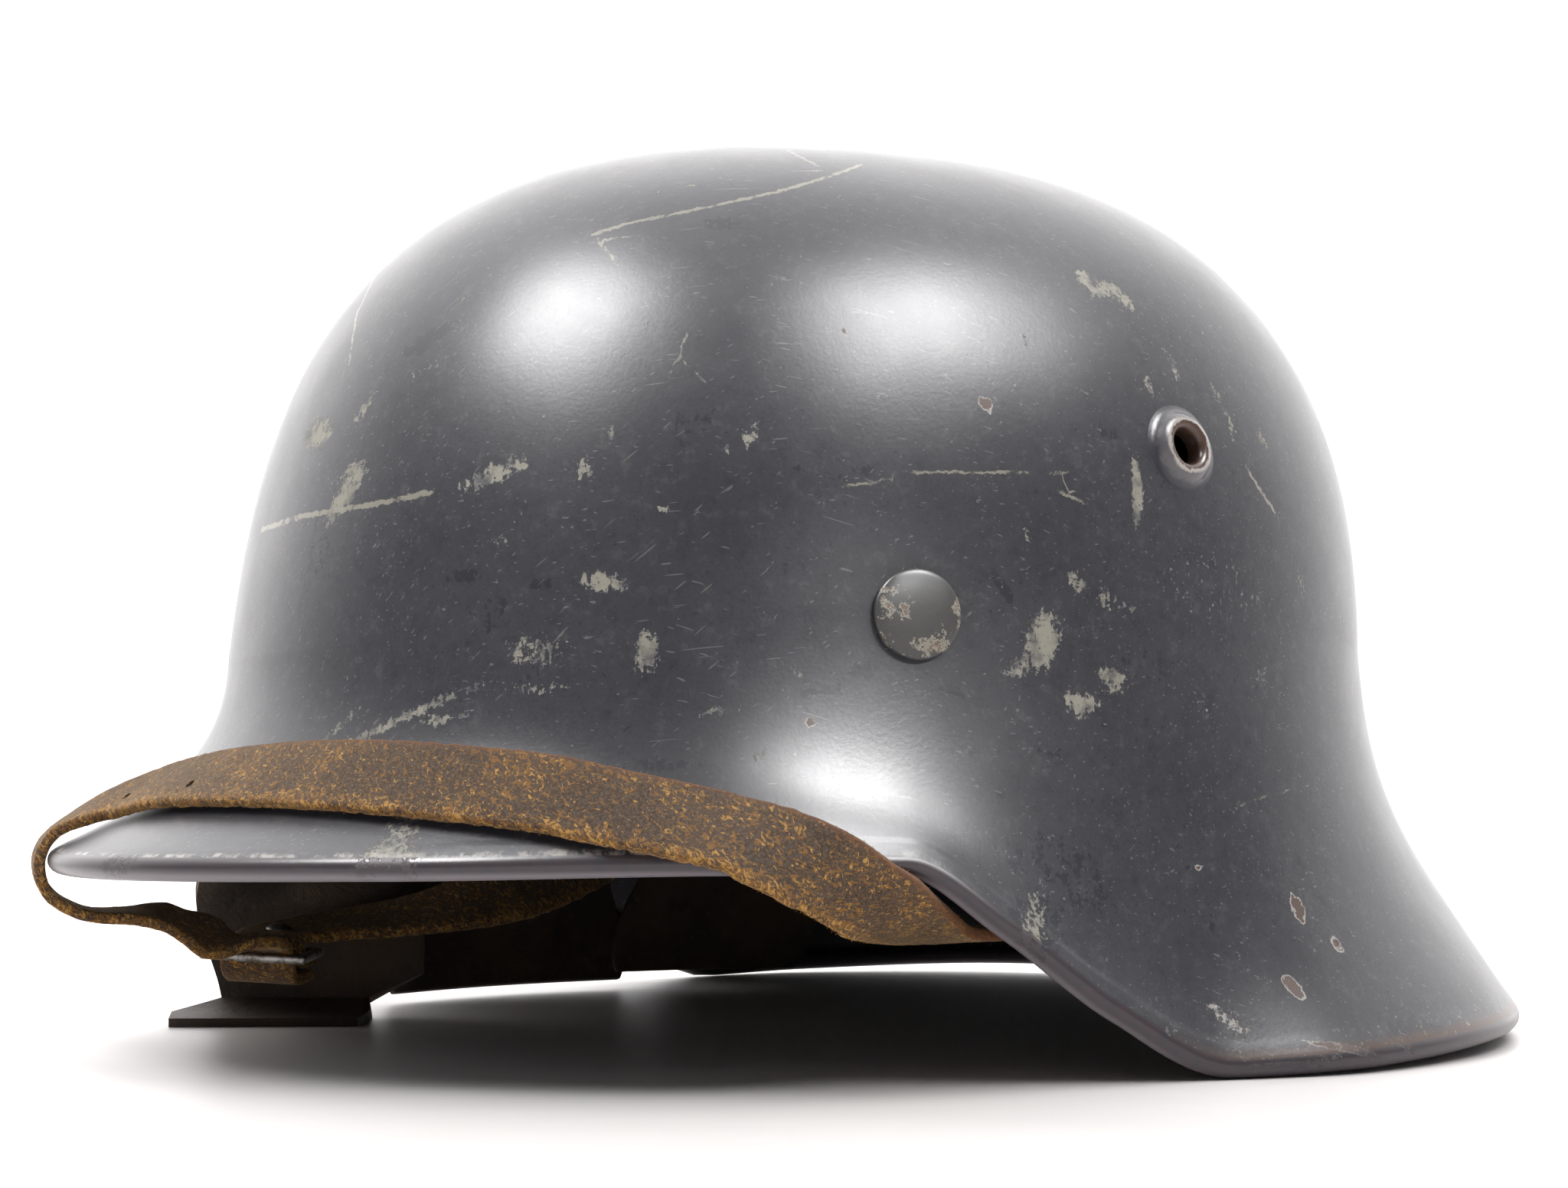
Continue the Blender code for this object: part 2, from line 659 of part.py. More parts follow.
def strap_object(name, rows, parts, material):
    """Flat strap along a route, one closed body."""
    sections = smooth_route(rows, STRAP_STEP)
    points = []
    for i, (place, width) in enumerate(sections):
        before = sections[max(i - 1, 0)][0]
        after = sections[min(i + 1, len(sections) - 1)][0]
        ahead = (after - before).normalized()
        across = (width - ahead * width.dot(ahead)).normalized()
        face = ahead.cross(across)
        half_w = across * STRAP_WIDTH / 2
        half_t = face * STRAP_THICKNESS / 2
        points += [place - half_w + half_t, place + half_w + half_t,
                   place + half_w - half_t, place - half_w - half_t]
    faces = grid_faces(len(sections), 4, closed=True)
    end = len(points)
    faces += [(3, 2, 1, 0), (end - 4, end - 3, end - 2, end - 1)]
    strap = mesh_object(name, points, faces, parts, material)
    mesh = bmesh.new()
    mesh.from_mesh(strap.data)
    bmesh.ops.recalc_face_normals(mesh, faces=mesh.faces)
    mesh.to_mesh(strap.data)
    mesh.free()


def bale_fold(angle, inward_first):
    """Strap rows round the bale's bar, from the cut end to the side that leads away."""
    frame = bale_frame(angle)
    clear = BALE_THICKNESS / 2 + STRAP_THICKNESS / 2 + 2 * GAP
    over = BALE_BAR / 2 + STRAP_THICKNESS / 2 + 2 * GAP
    shape = ((-clear, -2.6 * clear), (-clear, 0), (-clear * 0.72, over * 0.8), (0, over * 1.08),
             (clear * 0.72, over * 0.8), (clear, 0), (clear, -3.2 * clear))
    sign = 1 if inward_first else -1
    width = frame.to_3x3() @ Vector((1, 0, 0))
    return [(frame @ Vector((0, up, sign * out)), width) for out, up in shape]


def on_shell(angle, share):
    """Strap row on the outer face, its width running down the shell."""
    down = share_at_height(angle, share * VISOR_HEIGHT)
    lift = STRAP_THICKNESS / 2 + GAP + STRAP_LIFT
    place = shell_point(angle, down) + shell_normal(angle, down) * lift
    fall = shell_point(angle, min(down + 0.05, 2)) - shell_point(angle, down - 0.05)
    return place, fall.normalized()


def off_rim(angle, out, up, width):
    """Strap row placed from the edge of the rim, outward and up from its underside."""
    radius = plan_radius(angle) + rim_flare(angle) + out * STRAP_WIDTH
    return plan_point(angle, radius, rim_height(angle) + up * STRAP_WIDTH), Vector(width).normalized()


def off_ring(angle, inward, up, width):
    """Strap row placed inside the liner ring, at a height over the floor."""
    radius = plan_radius(angle, WALL + BAND_SPACING) - inward * STRAP_WIDTH
    return plan_point(angle, radius, up * STRAP_WIDTH), Vector(width).normalized()


def buckle_frame_matrix():
    """Matrix of the buckle: X along its width, Y the way the straps run, Z up."""
    ahead = Vector((-0.86, 0.50, 0.04)).normalized()
    width = Vector((0.50, 0.86, -0.05)).normalized()
    up = ahead.cross(width) * -1
    width = ahead.cross(up)
    place = plan_point(-15.5, WAIST_FRONT - 0.0065, BUCKLE_HEIGHT)
    return Matrix.Translation(place) @ Matrix((width, ahead, up)).transposed().to_4x4()


def build_straps(parts, material):
    """Long strap over the visor and short strap inside, each folded round its bale."""
    buckle = buckle_frame_matrix()
    turn = buckle.to_3x3()
    layer = BUCKLE_THICKNESS / 2 + STRAP_THICKNESS / 2 + GAP * 1.5
    bar = BUCKLE_LENGTH / 2 - BUCKLE_BAR / 2

    def at_buckle(along, up):
        """Strap row in the buckle's own frame."""
        return buckle @ Vector((0, along, up)), turn @ Vector((1, 0, 0))

    long_rows = bale_fold(BALE_ANGLE, True)
    long_rows += [off_rim(*row) for row in UNDER_RIM_ROWS]
    long_rows += [on_shell(*row) for row in ON_SHELL_ROWS]
    long_rows += [off_rim(*row) for row in OVER_FRONT_ROWS]
    long_rows += [
        at_buckle(-bar * 1.8, layer * 1.6),
        at_buckle(-bar * 1.35, layer * 1.3),
        at_buckle(-bar, layer * 1.05),
        at_buckle(-bar * 0.68, layer * 0.80),
        at_buckle(-bar * 0.56, layer * 0.15),
        at_buckle(-bar * 0.50, -layer * 0.60),
        at_buckle(-bar * 0.33, -layer * 1.35),
        at_buckle(0, -layer * 1.95),
        at_buckle(bar * 0.5, -layer * 2.2),
        at_buckle(bar * 1.1, -layer * 2.25),
        at_buckle(bar * 1.9, -layer * 2.2),
    ]
    strap_object("chin_strap", long_rows, parts, material)

    short_rows = [
        at_buckle(bar * 2.2, -layer),
        at_buckle(bar, -layer),
        at_buckle(bar - layer * 0.90, -layer * 0.82),
        at_buckle(bar - layer * 1.14, 0),
        at_buckle(bar - layer * 0.90, layer * 0.82),
        at_buckle(bar, layer),
        at_buckle(bar * 1.8, layer * 1.1),
    ]
    short_rows += [off_ring(*row) for row in INSIDE_ROWS]
    short_rows += list(reversed(bale_fold(-BALE_ANGLE, False)))
    strap_object("strap_short", short_rows, parts, material)


def build_buckle(parts, metal):
    """Metal frame with one window for the two straps."""
    matrix = buckle_frame_matrix()
    across = BUCKLE_WIDTH / 2
    along = BUCKLE_LENGTH / 2
    outer = (-across, -along, across, along)
    inner = (BUCKLE_BAR - across, BUCKLE_BAR - along, across - BUCKLE_BAR, along - BUCKLE_BAR)
    windowed_plate("buckle_frame", outer, inner, BUCKLE_THICKNESS, matrix, parts, metal)


def build():
    """Build every piece of the helmet."""
    clear_scene()
    scene = bpy.context.scene
    parts = bpy.data.collections.new("steel_helmet")
    cutters = bpy.data.collections.new("cutters")
    scene.collection.children.link(parts)
    scene.collection.children.link(cutters)
    paint = make_material("shell_paint", (0.060, 0.068, 0.090), 0.38, 0.0)
    rivet_paint = make_material("rivet_paint", (0.110, 0.115, 0.110), 0.45, 0.0)
    metal = make_material("liner_metal", (0.300, 0.300, 0.290), 0.45, 1.0)
    liner = make_material("liner_leather", (0.070, 0.045, 0.030), 0.75, 0.0)
    strap = make_material("strap_leather", (0.130, 0.085, 0.045), 0.85, 0.0)
    build_shell(parts, cutters, paint)
    build_rivets(parts, rivet_paint)
    build_rings(parts, cutters, metal, liner)
    build_tongues(parts, cutters, liner)
    build_bales(parts, metal)
    build_straps(parts, strap)
    build_buckle(parts, metal)


build()
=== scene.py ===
"""Looks of a worn steel helmet: painted shell, rivets, leather liner and a rough chin strap.

Metres, +Z up, front towards -Y, the wearer's left at +X, the floor at Z = 0. Plan angles are in degrees:
0 at the front, 90 at the wearer's left, -90 at the right and 180 at the rear.
"""
import random
from math import ceil, cos, pi, radians, sin

import bmesh
import bpy
import numpy as np
from mathutils import Matrix, Vector, noise
from mathutils.bvhtree import BVHTree


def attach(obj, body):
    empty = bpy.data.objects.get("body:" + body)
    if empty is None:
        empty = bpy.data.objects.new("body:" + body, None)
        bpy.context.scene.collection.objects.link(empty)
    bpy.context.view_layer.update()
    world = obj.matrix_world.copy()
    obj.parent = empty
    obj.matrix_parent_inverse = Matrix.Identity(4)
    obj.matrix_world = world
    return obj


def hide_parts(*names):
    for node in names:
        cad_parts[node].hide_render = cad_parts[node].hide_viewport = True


MM = 0.001
BODY = "root"

# Photograph frame and camera
PHOTO_WIDTH = 2048
PHOTO_HEIGHT = 1552
FOCAL_PIXELS = 3557.5
SENSOR_WIDTH = 36.0
CAMERA_AZIMUTH = 65.047
CAMERA_DISTANCE = 0.5284
CAMERA_HEIGHT = 0.05404
CAMERA_PITCH = 3.157
CAMERA_YAW = 0.119

# Shell sizes, as the frame has them
CROWN_HEIGHT = 0.1659
CROWN_BACK_SHIFT = 0.0085
WAIST_FRONT = 0.1043
WAIST_SIDE = 0.0968
WAIST_REAR = 0.1134
WAIST_SQUARENESS = 2.16
WAIST_HEIGHTS = (0.0695, 0.0770, 0.0696)
EQUATOR_DROP = 0.0223
DOME_FULLNESS = (3.20, 2.75, 2.57)
DOME_SPREAD = 2.6
WALL = 0.0012
VISOR_FLARE = 0.0330
SKIRT_FLARE = 0.0287
VISOR_HEIGHT = 0.0338
FLARE_START = (0.56, 0.70, 0.32)
FLARE_END = (0.405, 0.40, 0.875)
ROLL_RADIUS = 0.0021
ROLL_TURN = 262
VENT_ANGLE = 109.0
VENT_HEIGHT = 0.1043
VENT_BASE_RADIUS = 0.0067
VENT_LIP_RADIUS = 0.0046
VENT_BORE_RADIUS = 0.0030
VENT_RISE = 0.0021
RIVET_ANGLE = 78
RIVET_HEIGHT = 0.0746
RIVET_HEAD_RADIUS = 0.0073
RIVET_HEAD_EDGE = 0.0007
RIVET_HEAD_RISE = 0.0012
RIVET_SHANK_RADIUS = 0.0024
RIVET_TAIL_RADIUS = 0.0042
RIVET_TAIL_THICKNESS = 0.0010
GAP = 0.0003
BAND_SPACING = 0.0080
BAND_THICKNESS = 0.0010
BAND_BASE = 0.0580
STRAP_WIDTH = 0.0140
STRAP_THICKNESS = 0.0020
STRAP_LIFT = 0.0011
BALE_ANGLE = 96
BALE_THICKNESS = 0.0014
BALE_DROP = 0.0120
BALE_BAR = 0.0028
BUCKLE_LENGTH = 0.0145
BUCKLE_BAR = 0.0020
BUCKLE_THICKNESS = 0.0016
BUCKLE_HEIGHT = 0.0150
BUCKLE_ANGLE = -15.5
BUCKLE_INSET = 0.0065
CENTRE_Y = (WAIST_REAR + SKIRT_FLARE - WAIST_FRONT - VISOR_FLARE - STRAP_THICKNESS - 2 * GAP) / 2

# Rim: plan angle, visor flare share, skirt flare share, height as a share of VISOR_HEIGHT
RIM_ROWS = (
    (0, 1.00, 0.00, 0.93),
    (35, 0.62, 0.00, 0.97),
    (60, 0.36, 0.00, 1.00),
    (76, 0.25, 0.00, 0.99),
    (86, 0.20, 0.09, 0.67),
    (96, 0.10, 0.27, 0.275),
    (106, 0.00, 0.55, 0.00),
    (118, 0.00, 0.84, 0.02),
    (140, 0.00, 1.00, 0.06),
    (180, 0.00, 1.00, 0.05),
)

# Strap from under the rim up onto it: plan angle, out and up from the rim in strap widths, width direction
UNDER_RIM_ROWS = (
    (95.4, -1.18, 1.79, (-0.55, 0.83, 0.00)),
    (93.8, -1.17, 1.22, (-0.88, 0.45, 0.00)),
    (89.4, -1.15, 0.41, (-0.99, 0.00, -0.05)),
    (81.4, -0.94, -0.40, (-0.94, -0.33, -0.12)),
    (76.4, -0.43, -0.51, (-0.67, -0.61, -0.42)),
    (74.1, -0.14, -0.35, (-0.48, -0.59, -0.64)),
    (72.5, -0.02, -0.26, (-0.42, -0.46, -0.79)),
    (70.4, 0.07, -0.07, (-0.29, -0.43, -0.85)),
    (67.7, 0.20, 0.13, (-0.12, -0.45, -0.89)),
)

# Strap on the shell: plan angle, height as a share of VISOR_HEIGHT
ON_SHELL_ROWS = (
    (61.5, 1.148), (57, 1.210), (52, 1.266), (46, 1.334), (39.5, 1.370),
    (32, 1.399), (24, 1.408), (14, 1.391), (5, 1.355),
)

# Strap over the front of the rim and back under it, in the same measures as UNDER_RIM_ROWS
OVER_FRONT_ROWS = (
    (-3.8, -1.02, 0.97, (0.62, -0.62, -0.48)),
    (-6.0, -0.60, 0.80, (0.88, -0.38, -0.28)),
    (-7.0, -0.14, 0.54, (0.985, -0.17, 0.00)),
    (-7.2, 0.06, 0.32, (0.99, -0.14, 0.00)),
    (-7.4, 0.12, 0.10, (0.99, -0.13, 0.00)),
    (-7.5, 0.08, -0.14, (0.99, -0.14, 0.00)),
    (-7.5, -0.08, -0.36, (0.985, -0.17, 0.00)),
    (-7.5, -0.50, -0.56, (0.985, -0.17, 0.00)),
    (-7.5, -1.07, -0.59, (0.985, -0.17, -0.05)),
    (-7.8, -1.50, -0.64, (0.96, -0.10, -0.25)),
    (-8.6, -1.90, -0.86, (0.80, 0.20, -0.56)),
)

# Short strap inside the ring: plan angle, inward from the ring and up from the floor in strap widths
INSIDE_ROWS = (
    (-24.5, 0.27, 1.30, (0.87, 0.50, -0.15)),
    (-27.8, 0.75, 1.36, (0.98, 0.00, -0.25)),
    (-30.8, 1.56, 1.46, (0.90, -0.23, -0.40)),
    (-36.0, 2.26, 1.61, (0.80, -0.10, -0.60)),
    (-49.4, 2.58, 1.82, (0.60, 0.10, -0.79)),
    (-71.7, 2.08, 2.14, (0.40, 0.00, -0.92)),
    (-88.5, 1.04, 2.46, (0.22, -0.45, -0.86)),
    (-94.3, 0.39, 2.64, (0.12, -0.85, -0.50)),
)

# Long scratches down to the primer: half width in mm, strength, then photo pixels along the scratch
SCRATCHES = (
    (0.42, 0.80, (773, 307), (819, 292), (922, 271), (1014, 251), (1085, 230), (1126, 215)),
    (0.35, 0.62, (773, 307), (803, 340)),
    (0.35, 0.55, (1024, 195), (1075, 220)),
    (0.40, 0.60, (502, 338), (466, 410), (456, 476)),
    (0.50, 0.75, (317, 701), (389, 676), (481, 660), (563, 643)),
    (0.28, 0.60, (1167, 617), (1260, 617), (1395, 617)),
    (0.40, 0.62, (1377, 640), (1418, 657)),
    (0.22, 0.50, (1597, 1060), (1659, 1039), (1731, 1019)),
    (0.22, 0.50, (1157, 1036), (1224, 1050)),
    (0.50, 0.55, (1623, 604), (1669, 676)),
    (0.30, 0.50, (1167, 625), (1080, 640)),
    (0.25, 0.45, (880, 460), (930, 505)),
    (0.25, 0.40, (900, 430), (870, 500)),
)

# Patches worn to the primer: photo pixels, half length and half width in pixels, turn, amount
WORN_PATCHES = (
    (605, 390, 16, 5, -60, 0.62), (1022, 370, 14, 4, -25, 0.60), (1060, 328, 46, 4, 3, 0.55),
    (1172, 328, 8, 5, 0, 0.75), (452, 645, 26, 16, -15, 0.75), (462, 614, 20, 14, 10, 0.65),
    (415, 566, 17, 24, 20, 0.80), (475, 535, 15, 8, -20, 0.70), (650, 618, 44, 13, -12, 0.78),
    (620, 628, 24, 10, 0, 0.60), (763, 614, 18, 14, 20, 0.64), (795, 573, 6, 22, 15, 0.60),
    (980, 568, 8, 20, 25, 0.72), (947, 584, 7, 12, 0, 0.58), (942, 614, 5, 10, 0, 0.55),
    (870, 666, 12, 7, 30, 0.60), (655, 707, 12, 7, 0, 0.62), (788, 760, 34, 15, 10, 0.66),
    (845, 850, 18, 34, 5, 0.66), (700, 850, 46, 26, 0, 0.50), (1045, 878, 12, 8, 0, 0.66),
    (500, 950, 118, 7, -3, 0.72), (585, 938, 40, 7, 0, 0.70), (430, 960, 38, 6, -10, 0.66),
    (1440, 378, 12, 22, 45, 0.80), (1415, 362, 14, 10, 30, 0.76), (1466, 388, 12, 12, 0, 0.72),
    (1341, 440, 5, 16, 15, 0.62), (1531, 476, 6, 18, 0, 0.62), (1500, 502, 5, 18, 0, 0.66),
    (1587, 512, 5, 14, 0, 0.62), (1485, 640, 8, 44, 10, 0.86), (1608, 558, 7, 14, 20, 0.60),
    (1649, 574, 8, 12, 0, 0.56), (1362, 838, 40, 24, -55, 0.80), (1330, 870, 26, 14, -30, 0.66),
    (1454, 888, 20, 16, 0, 0.82), (1413, 919, 24, 16, 0, 0.82), (1444, 783, 14, 14, 0, 0.60),
    (1474, 799, 12, 12, 0, 0.60), (1405, 760, 12, 18, -70, 0.62), (1590, 770, 90, 60, 0, 0.34),
    (1570, 930, 30, 20, 30, 0.36), (990, 985, 8, 14, 20, 0.66),
    (1340, 700, 6, 14, 0, 0.56), (905, 240, 10, 4, 0, 0.66), (812, 218, 10, 4, 0, 0.50),
    (560, 480, 30, 10, 0, 0.46), (1010, 660, 8, 8, 0, 0.52), (1730, 1385, 40, 10, -5, 0.50),
    (1250, 210, 40, 6, 10, 0.50), (420, 400, 8, 30, 15, 0.45), (1700, 760, 8, 30, 0, 0.45),
    (1650, 880, 14, 20, 0, 0.45), (700, 900, 60, 10, 0, 0.45), (930, 930, 30, 12, 0, 0.45),
)

# Patches rubbed to the darker coat beneath, in the same columns
DARK_PATCHES = (
    (560, 443, 34, 12, 0, 0.80), (604, 753, 30, 9, 0, 0.75), (706, 763, 16, 9, 0, 0.75),
    (1075, 903, 34, 8, -12, 0.82), (1126, 614, 16, 13, 0, 0.78), (1128, 878, 20, 12, -20, 0.85),
    (1310, 768, 8, 26, -40, 0.80), (1355, 648, 24, 5, 0, 0.70), (1448, 564, 14, 12, 0, 0.70),
    (1270, 985, 8, 8, 0, 0.76), (1375, 983, 20, 6, 0, 0.72), (1455, 988, 10, 8, 0, 0.80),
    (940, 292, 34, 10, -10, 0.70), (900, 560, 40, 30, 0, 0.48), (870, 1000, 60, 10, 4, 0.60),
    (1400, 1140, 80, 50, 20, 0.52), (1330, 1120, 50, 26, 20, 0.52), (1020, 1000, 30, 14, 0, 0.50),
    (410, 720, 20, 50, 0, 0.50), (640, 800, 40, 30, 0, 0.50), (1300, 1040, 22, 5, 12, 0.80),
    (1345, 1052, 16, 4, 12, 0.80), (1250, 1118, 14, 8, 0, 0.62), (1620, 1340, 50, 20, 10, 0.56),
    (1240, 905, 30, 5, 0, 0.62), (730, 410, 20, 16, 0, 0.45), (1500, 870, 60, 30, 0, 0.46),
)

# Chips down to rusty steel: photo pixels, half length and half width in pixels, turn, amount
RUST_CHIPS = (
    (1287, 528, 9, 15, -25, 1.00), (1060, 944, 9, 9, 0, 0.92), (1695, 1187, 12, 14, 20, 0.90),
    (1746, 1234, 7, 12, 0, 0.80), (1690, 1290, 24, 10, 35, 0.86), (1567, 1135, 7, 8, 0, 0.80),
    (1055, 942, 8, 8, 0, 0.80), (1100, 432, 6, 4, 0, 0.80), (1600, 1330, 50, 12, 28, 0.60),
    (1337, 392, 7, 6, 0, 0.70), (1760, 1370, 60, 8, -8, 0.72), (1680, 1392, 60, 8, 10, 0.66),
)

# Wear at random on the other sides: count, range of amounts, range of sizes in metres
OTHER_WORN = (150, (0.40, 0.78), (0.0015, 0.009))
OTHER_DARK = (90, (0.45, 0.80), (0.002, 0.012))
OTHER_CHIPS = (26, (0.6, 0.95), (0.001, 0.003))
OTHER_SCRATCHES = 26

# How far marks reach: the probes of a patch in photo pixels, the rest in metres
SPOT_PROBE = 6
SPOT_DEPTH = 0.02
SCRATCH_REACH = 0.006
SCRATCH_FADE = 0.0015

# Soft forms of steel, leather and fibres
STEEL_WAVES = 0.00013
LEATHER_WAVES = 0.0006
SLIT_SPREAD = 0.0038
FIBRE_COUNT = 2600

# Strap holes and buckle stud
STRAP_HOLES = ((248, 1024), (165, 1040))
STRAP_HOLE_RADIUS = 0.0009
STUD_RADIUS = 0.0025
STUD_RISE = 0.0013

# Colours, linear
PAINT = (0.0370, 0.0372, 0.0455)
PAINT_LIGHT = (0.0465, 0.0462, 0.0550)
PAINT_PALE = (0.0950, 0.0930, 0.0980)
PAINT_DARK = (0.0150, 0.0165, 0.0250)
PRIMER = (0.3000, 0.2850, 0.2300)
BARE_BROWN = (0.0850, 0.0480, 0.0350)
BEAD_UPPER = (0.0640, 0.0480, 0.0550)
# Painted reflection of the lit floor on the underside of the bead over the visor
BEAD_UNDERSIDE_FLOOR_REFLECTION = (0.2100, 0.1870, 0.2050)
PALE_EDGE = (0.4600, 0.4300, 0.4000)
RIVET_GREY = (0.0740, 0.0700, 0.0600)
VENT_INSIDE = (0.0300, 0.0200, 0.0160)
VENT_COLLAR = (0.1150, 0.1080, 0.1180)
RIVET_BROWN = (0.1600, 0.0950, 0.0650)
STRAP_DARK = (0.0600, 0.0340, 0.0200)
STRAP_BROWN = (0.0920, 0.0540, 0.0310)
STRAP_GREY = (0.1050, 0.0780, 0.0600)
STRAP_ORANGE = (0.2600, 0.1280, 0.0340)
STRAP_YELLOW = (0.5600, 0.3100, 0.0800)
STRAP_PIT = (0.0220, 0.0140, 0.0100)
# Painted highlight along the strap's top edge, where the overhead light catches it
STRAP_TOP_EDGE_HIGHLIGHT = (0.1500, 0.0520, 0.0220)
STRAP_EDGE = (0.1700, 0.0750, 0.0300)
STRAP_SHEEN = (0.8500, 0.6000, 0.3500)
FIBRE_DARK = (0.1200, 0.0600, 0.0220)
FIBRE_LIGHT = (0.4300, 0.2100, 0.0600)
LINER_DARK = (0.0260, 0.0190, 0.0150)
LINER_BROWN = (0.0700, 0.0430, 0.0260)
LINER_WORN = (0.1500, 0.0950, 0.0550)
PLATING = (0.3400, 0.3400, 0.3300)
PLATING_STAIN = (0.1200, 0.0750, 0.0500)
BUCKLE_STEEL = (0.5200, 0.5100, 0.5000)
BUCKLE_STAIN = (0.2000, 0.1700, 0.1500)
FLOOR_LIGHT = (0.8800, 0.8600, 0.8500)
FLOOR_GREY = (0.8300, 0.8100, 0.8000)
ROOM_WHITE = (1.0000, 0.9850, 0.9800)
WHITE = (1.0000, 1.0000, 1.0000)

# Lights
BOX_DISTANCE = 0.90
BOX_SIZE = (0.46, 0.38)
HIGHLIGHT_POWER = 17
FILL_POWER = 4
FLARE_SPOT_DISTANCE = 0.60
FLARE_SPOT_RADIUS = 0.018
FLARE_SPOT_WIDTH = 6
ROOM_BEHIND = 3.0
ROOM_BEFORE = 0.12
BACKDROP_STRENGTH = 1.2
FLOOR_REACH = 6.0

# Soft boxes: end, point that they look at, way from it
BOX_ROWS = (
    ("front", (0.060, -0.060, 0.140), (0.02, -0.57, 0.82)),
    ("rear", (0.075, 0.000, 0.140), (0.54, 0.24, 0.82)),
)

# Spots on the flare: plan angle, way down the shell, power
FLARE_SPOT_ROWS = (
    (66.5, 1.43, 6),
    (70.5, 1.48, 15),
    (74.5, 1.53, 12),
    (78.5, 1.60, 6),
)

# Mesh fineness
NEAR_STEP = 0.8
FAR_STEP = 2.4
NEAR_FROM = -16
NEAR_TO = 150
DOME_STEPS = 76
FLARE_STEPS = 48
ROLL_STEPS = 14
STRAP_STEP = 0.0007
SMALL_ANGLE = 0.5
SMALL_SHARE = 0.004

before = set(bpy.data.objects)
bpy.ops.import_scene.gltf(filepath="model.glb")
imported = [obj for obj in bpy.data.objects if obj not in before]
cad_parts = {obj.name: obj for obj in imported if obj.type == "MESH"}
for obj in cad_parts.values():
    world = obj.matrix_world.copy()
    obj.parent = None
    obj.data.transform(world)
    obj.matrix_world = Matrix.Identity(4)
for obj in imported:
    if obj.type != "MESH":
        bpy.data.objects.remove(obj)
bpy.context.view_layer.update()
dice = random.Random(7)


def camera_axes():
    """Place, way ahead, right and up of the photo's camera."""
    a = radians(CAMERA_AZIMUTH)
    back = Vector((sin(a), -cos(a), 0))
    right = Vector((cos(a), sin(a), 0))
    place = back * CAMERA_DISTANCE + Vector((0, -CENTRE_Y, CAMERA_HEIGHT))
    yaw = radians(CAMERA_YAW)
    level = -back * cos(yaw) + right * sin(yaw)
    side = right * cos(yaw) + back * sin(yaw)
    pitch = radians(CAMERA_PITCH)
    ahead = level * cos(pitch) + Vector((0, 0, sin(pitch)))
    return place, ahead, side, side.cross(ahead)


def add_camera():
    """Camera at the photo's viewing angle."""
    place, ahead, side, up = camera_axes()
    data = bpy.data.cameras.new("camera")
    data.sensor_width = SENSOR_WIDTH
    data.lens = FOCAL_PIXELS * SENSOR_WIDTH / PHOTO_WIDTH
    data.clip_start = 0.01
    camera = bpy.data.objects.new("camera", data)
    bpy.context.scene.collection.objects.link(camera)
    camera.matrix_world = Matrix.Translation(place) @ Matrix((side, up, -ahead)).transposed().to_4x4()
    bpy.context.scene.camera = camera


def pixel_way(x, y):
    """Direction from the camera through a photo pixel."""
    _, ahead, side, up = camera_axes()
    across = (x - PHOTO_WIDTH / 2) / FOCAL_PIXELS
    down = (y - PHOTO_HEIGHT / 2) / FOCAL_PIXELS
    return (ahead + side * across - up * down).normalized()


def blend(angle, values):
    """Mix front, side and rear values round the plan."""
    front, side, rear = values
    end = front if abs(angle) < 90 else rear
    return side + (end - side) * cos(radians(angle)) ** 2


def eased_mix(a, b, leave, arrive, s):
    """Smooth way from a to b that leaves and arrives with the slopes given."""
    start = a * (2 * s ** 3 - 3 * s ** 2 + 1) + leave * (s ** 3 - 2 * s ** 2 + s)
    return start + b * (3 * s ** 2 - 2 * s ** 3) + arrive * (s ** 3 - s ** 2)


def read_rows(rows, column, at):
    """Read a column of a table with a smooth curve that keeps between its rows."""
    xs = [row[0] for row in rows]
    ys = [row[column] for row in rows]
    steps = [(y1 - y0) / (x1 - x0) for x0, x1, y0, y1 in zip(xs, xs[1:], ys, ys[1:])]
    inner = [2 * a * b / (a + b) if a * b > 0 else 0.0 for a, b in zip(steps, steps[1:])]
    slopes = [0.0] + inner + [0.0]
    i = max(k for k in range(len(steps)) if xs[k] <= at or k == 0)
    width = xs[i + 1] - xs[i]
    return eased_mix(ys[i], ys[i + 1], width * slopes[i], width * slopes[i + 1], (at - xs[i]) / width)


def wrapped(angle):
    """Plan angle brought between -180 and 180."""
    return (angle + 180) % 360 - 180


def rim_flare(angle):
    """How far the rim stands out from the waist."""
    at = abs(wrapped(angle))
    return VISOR_FLARE * read_rows(RIM_ROWS, 1, at) + SKIRT_FLARE * read_rows(RIM_ROWS, 2, at)


def rim_height(angle):
    """Height of the underside of the rim."""
    return VISOR_HEIGHT * read_rows(RIM_ROWS, 3, abs(wrapped(angle)))


def plan_radius(angle, inset=0.0):
    """Radius of the waist, or of an oval set in from it."""
    along = (WAIST_FRONT if abs(wrapped(angle)) < 90 else WAIST_REAR) - inset
    across = WAIST_SIDE - inset
    a = radians(angle)
    n = WAIST_SQUARENESS
    return (abs(cos(a) / along) ** n + abs(sin(a) / across) ** n) ** (-1 / n)


def plan_point(angle, radius, height):
    """Point at a plan angle, radius and height."""
    a = radians(angle)
    return Vector((radius * sin(a), -radius * cos(a) - CENTRE_Y, height))


def bezier(points, s):
    """Point of a cubic Bezier curve in radius and height."""
    a, b, c, d = points
    r = 1 - s
    return a * r ** 3 + b * 3 * r * r * s + c * 3 * r * s * s + d * s ** 3


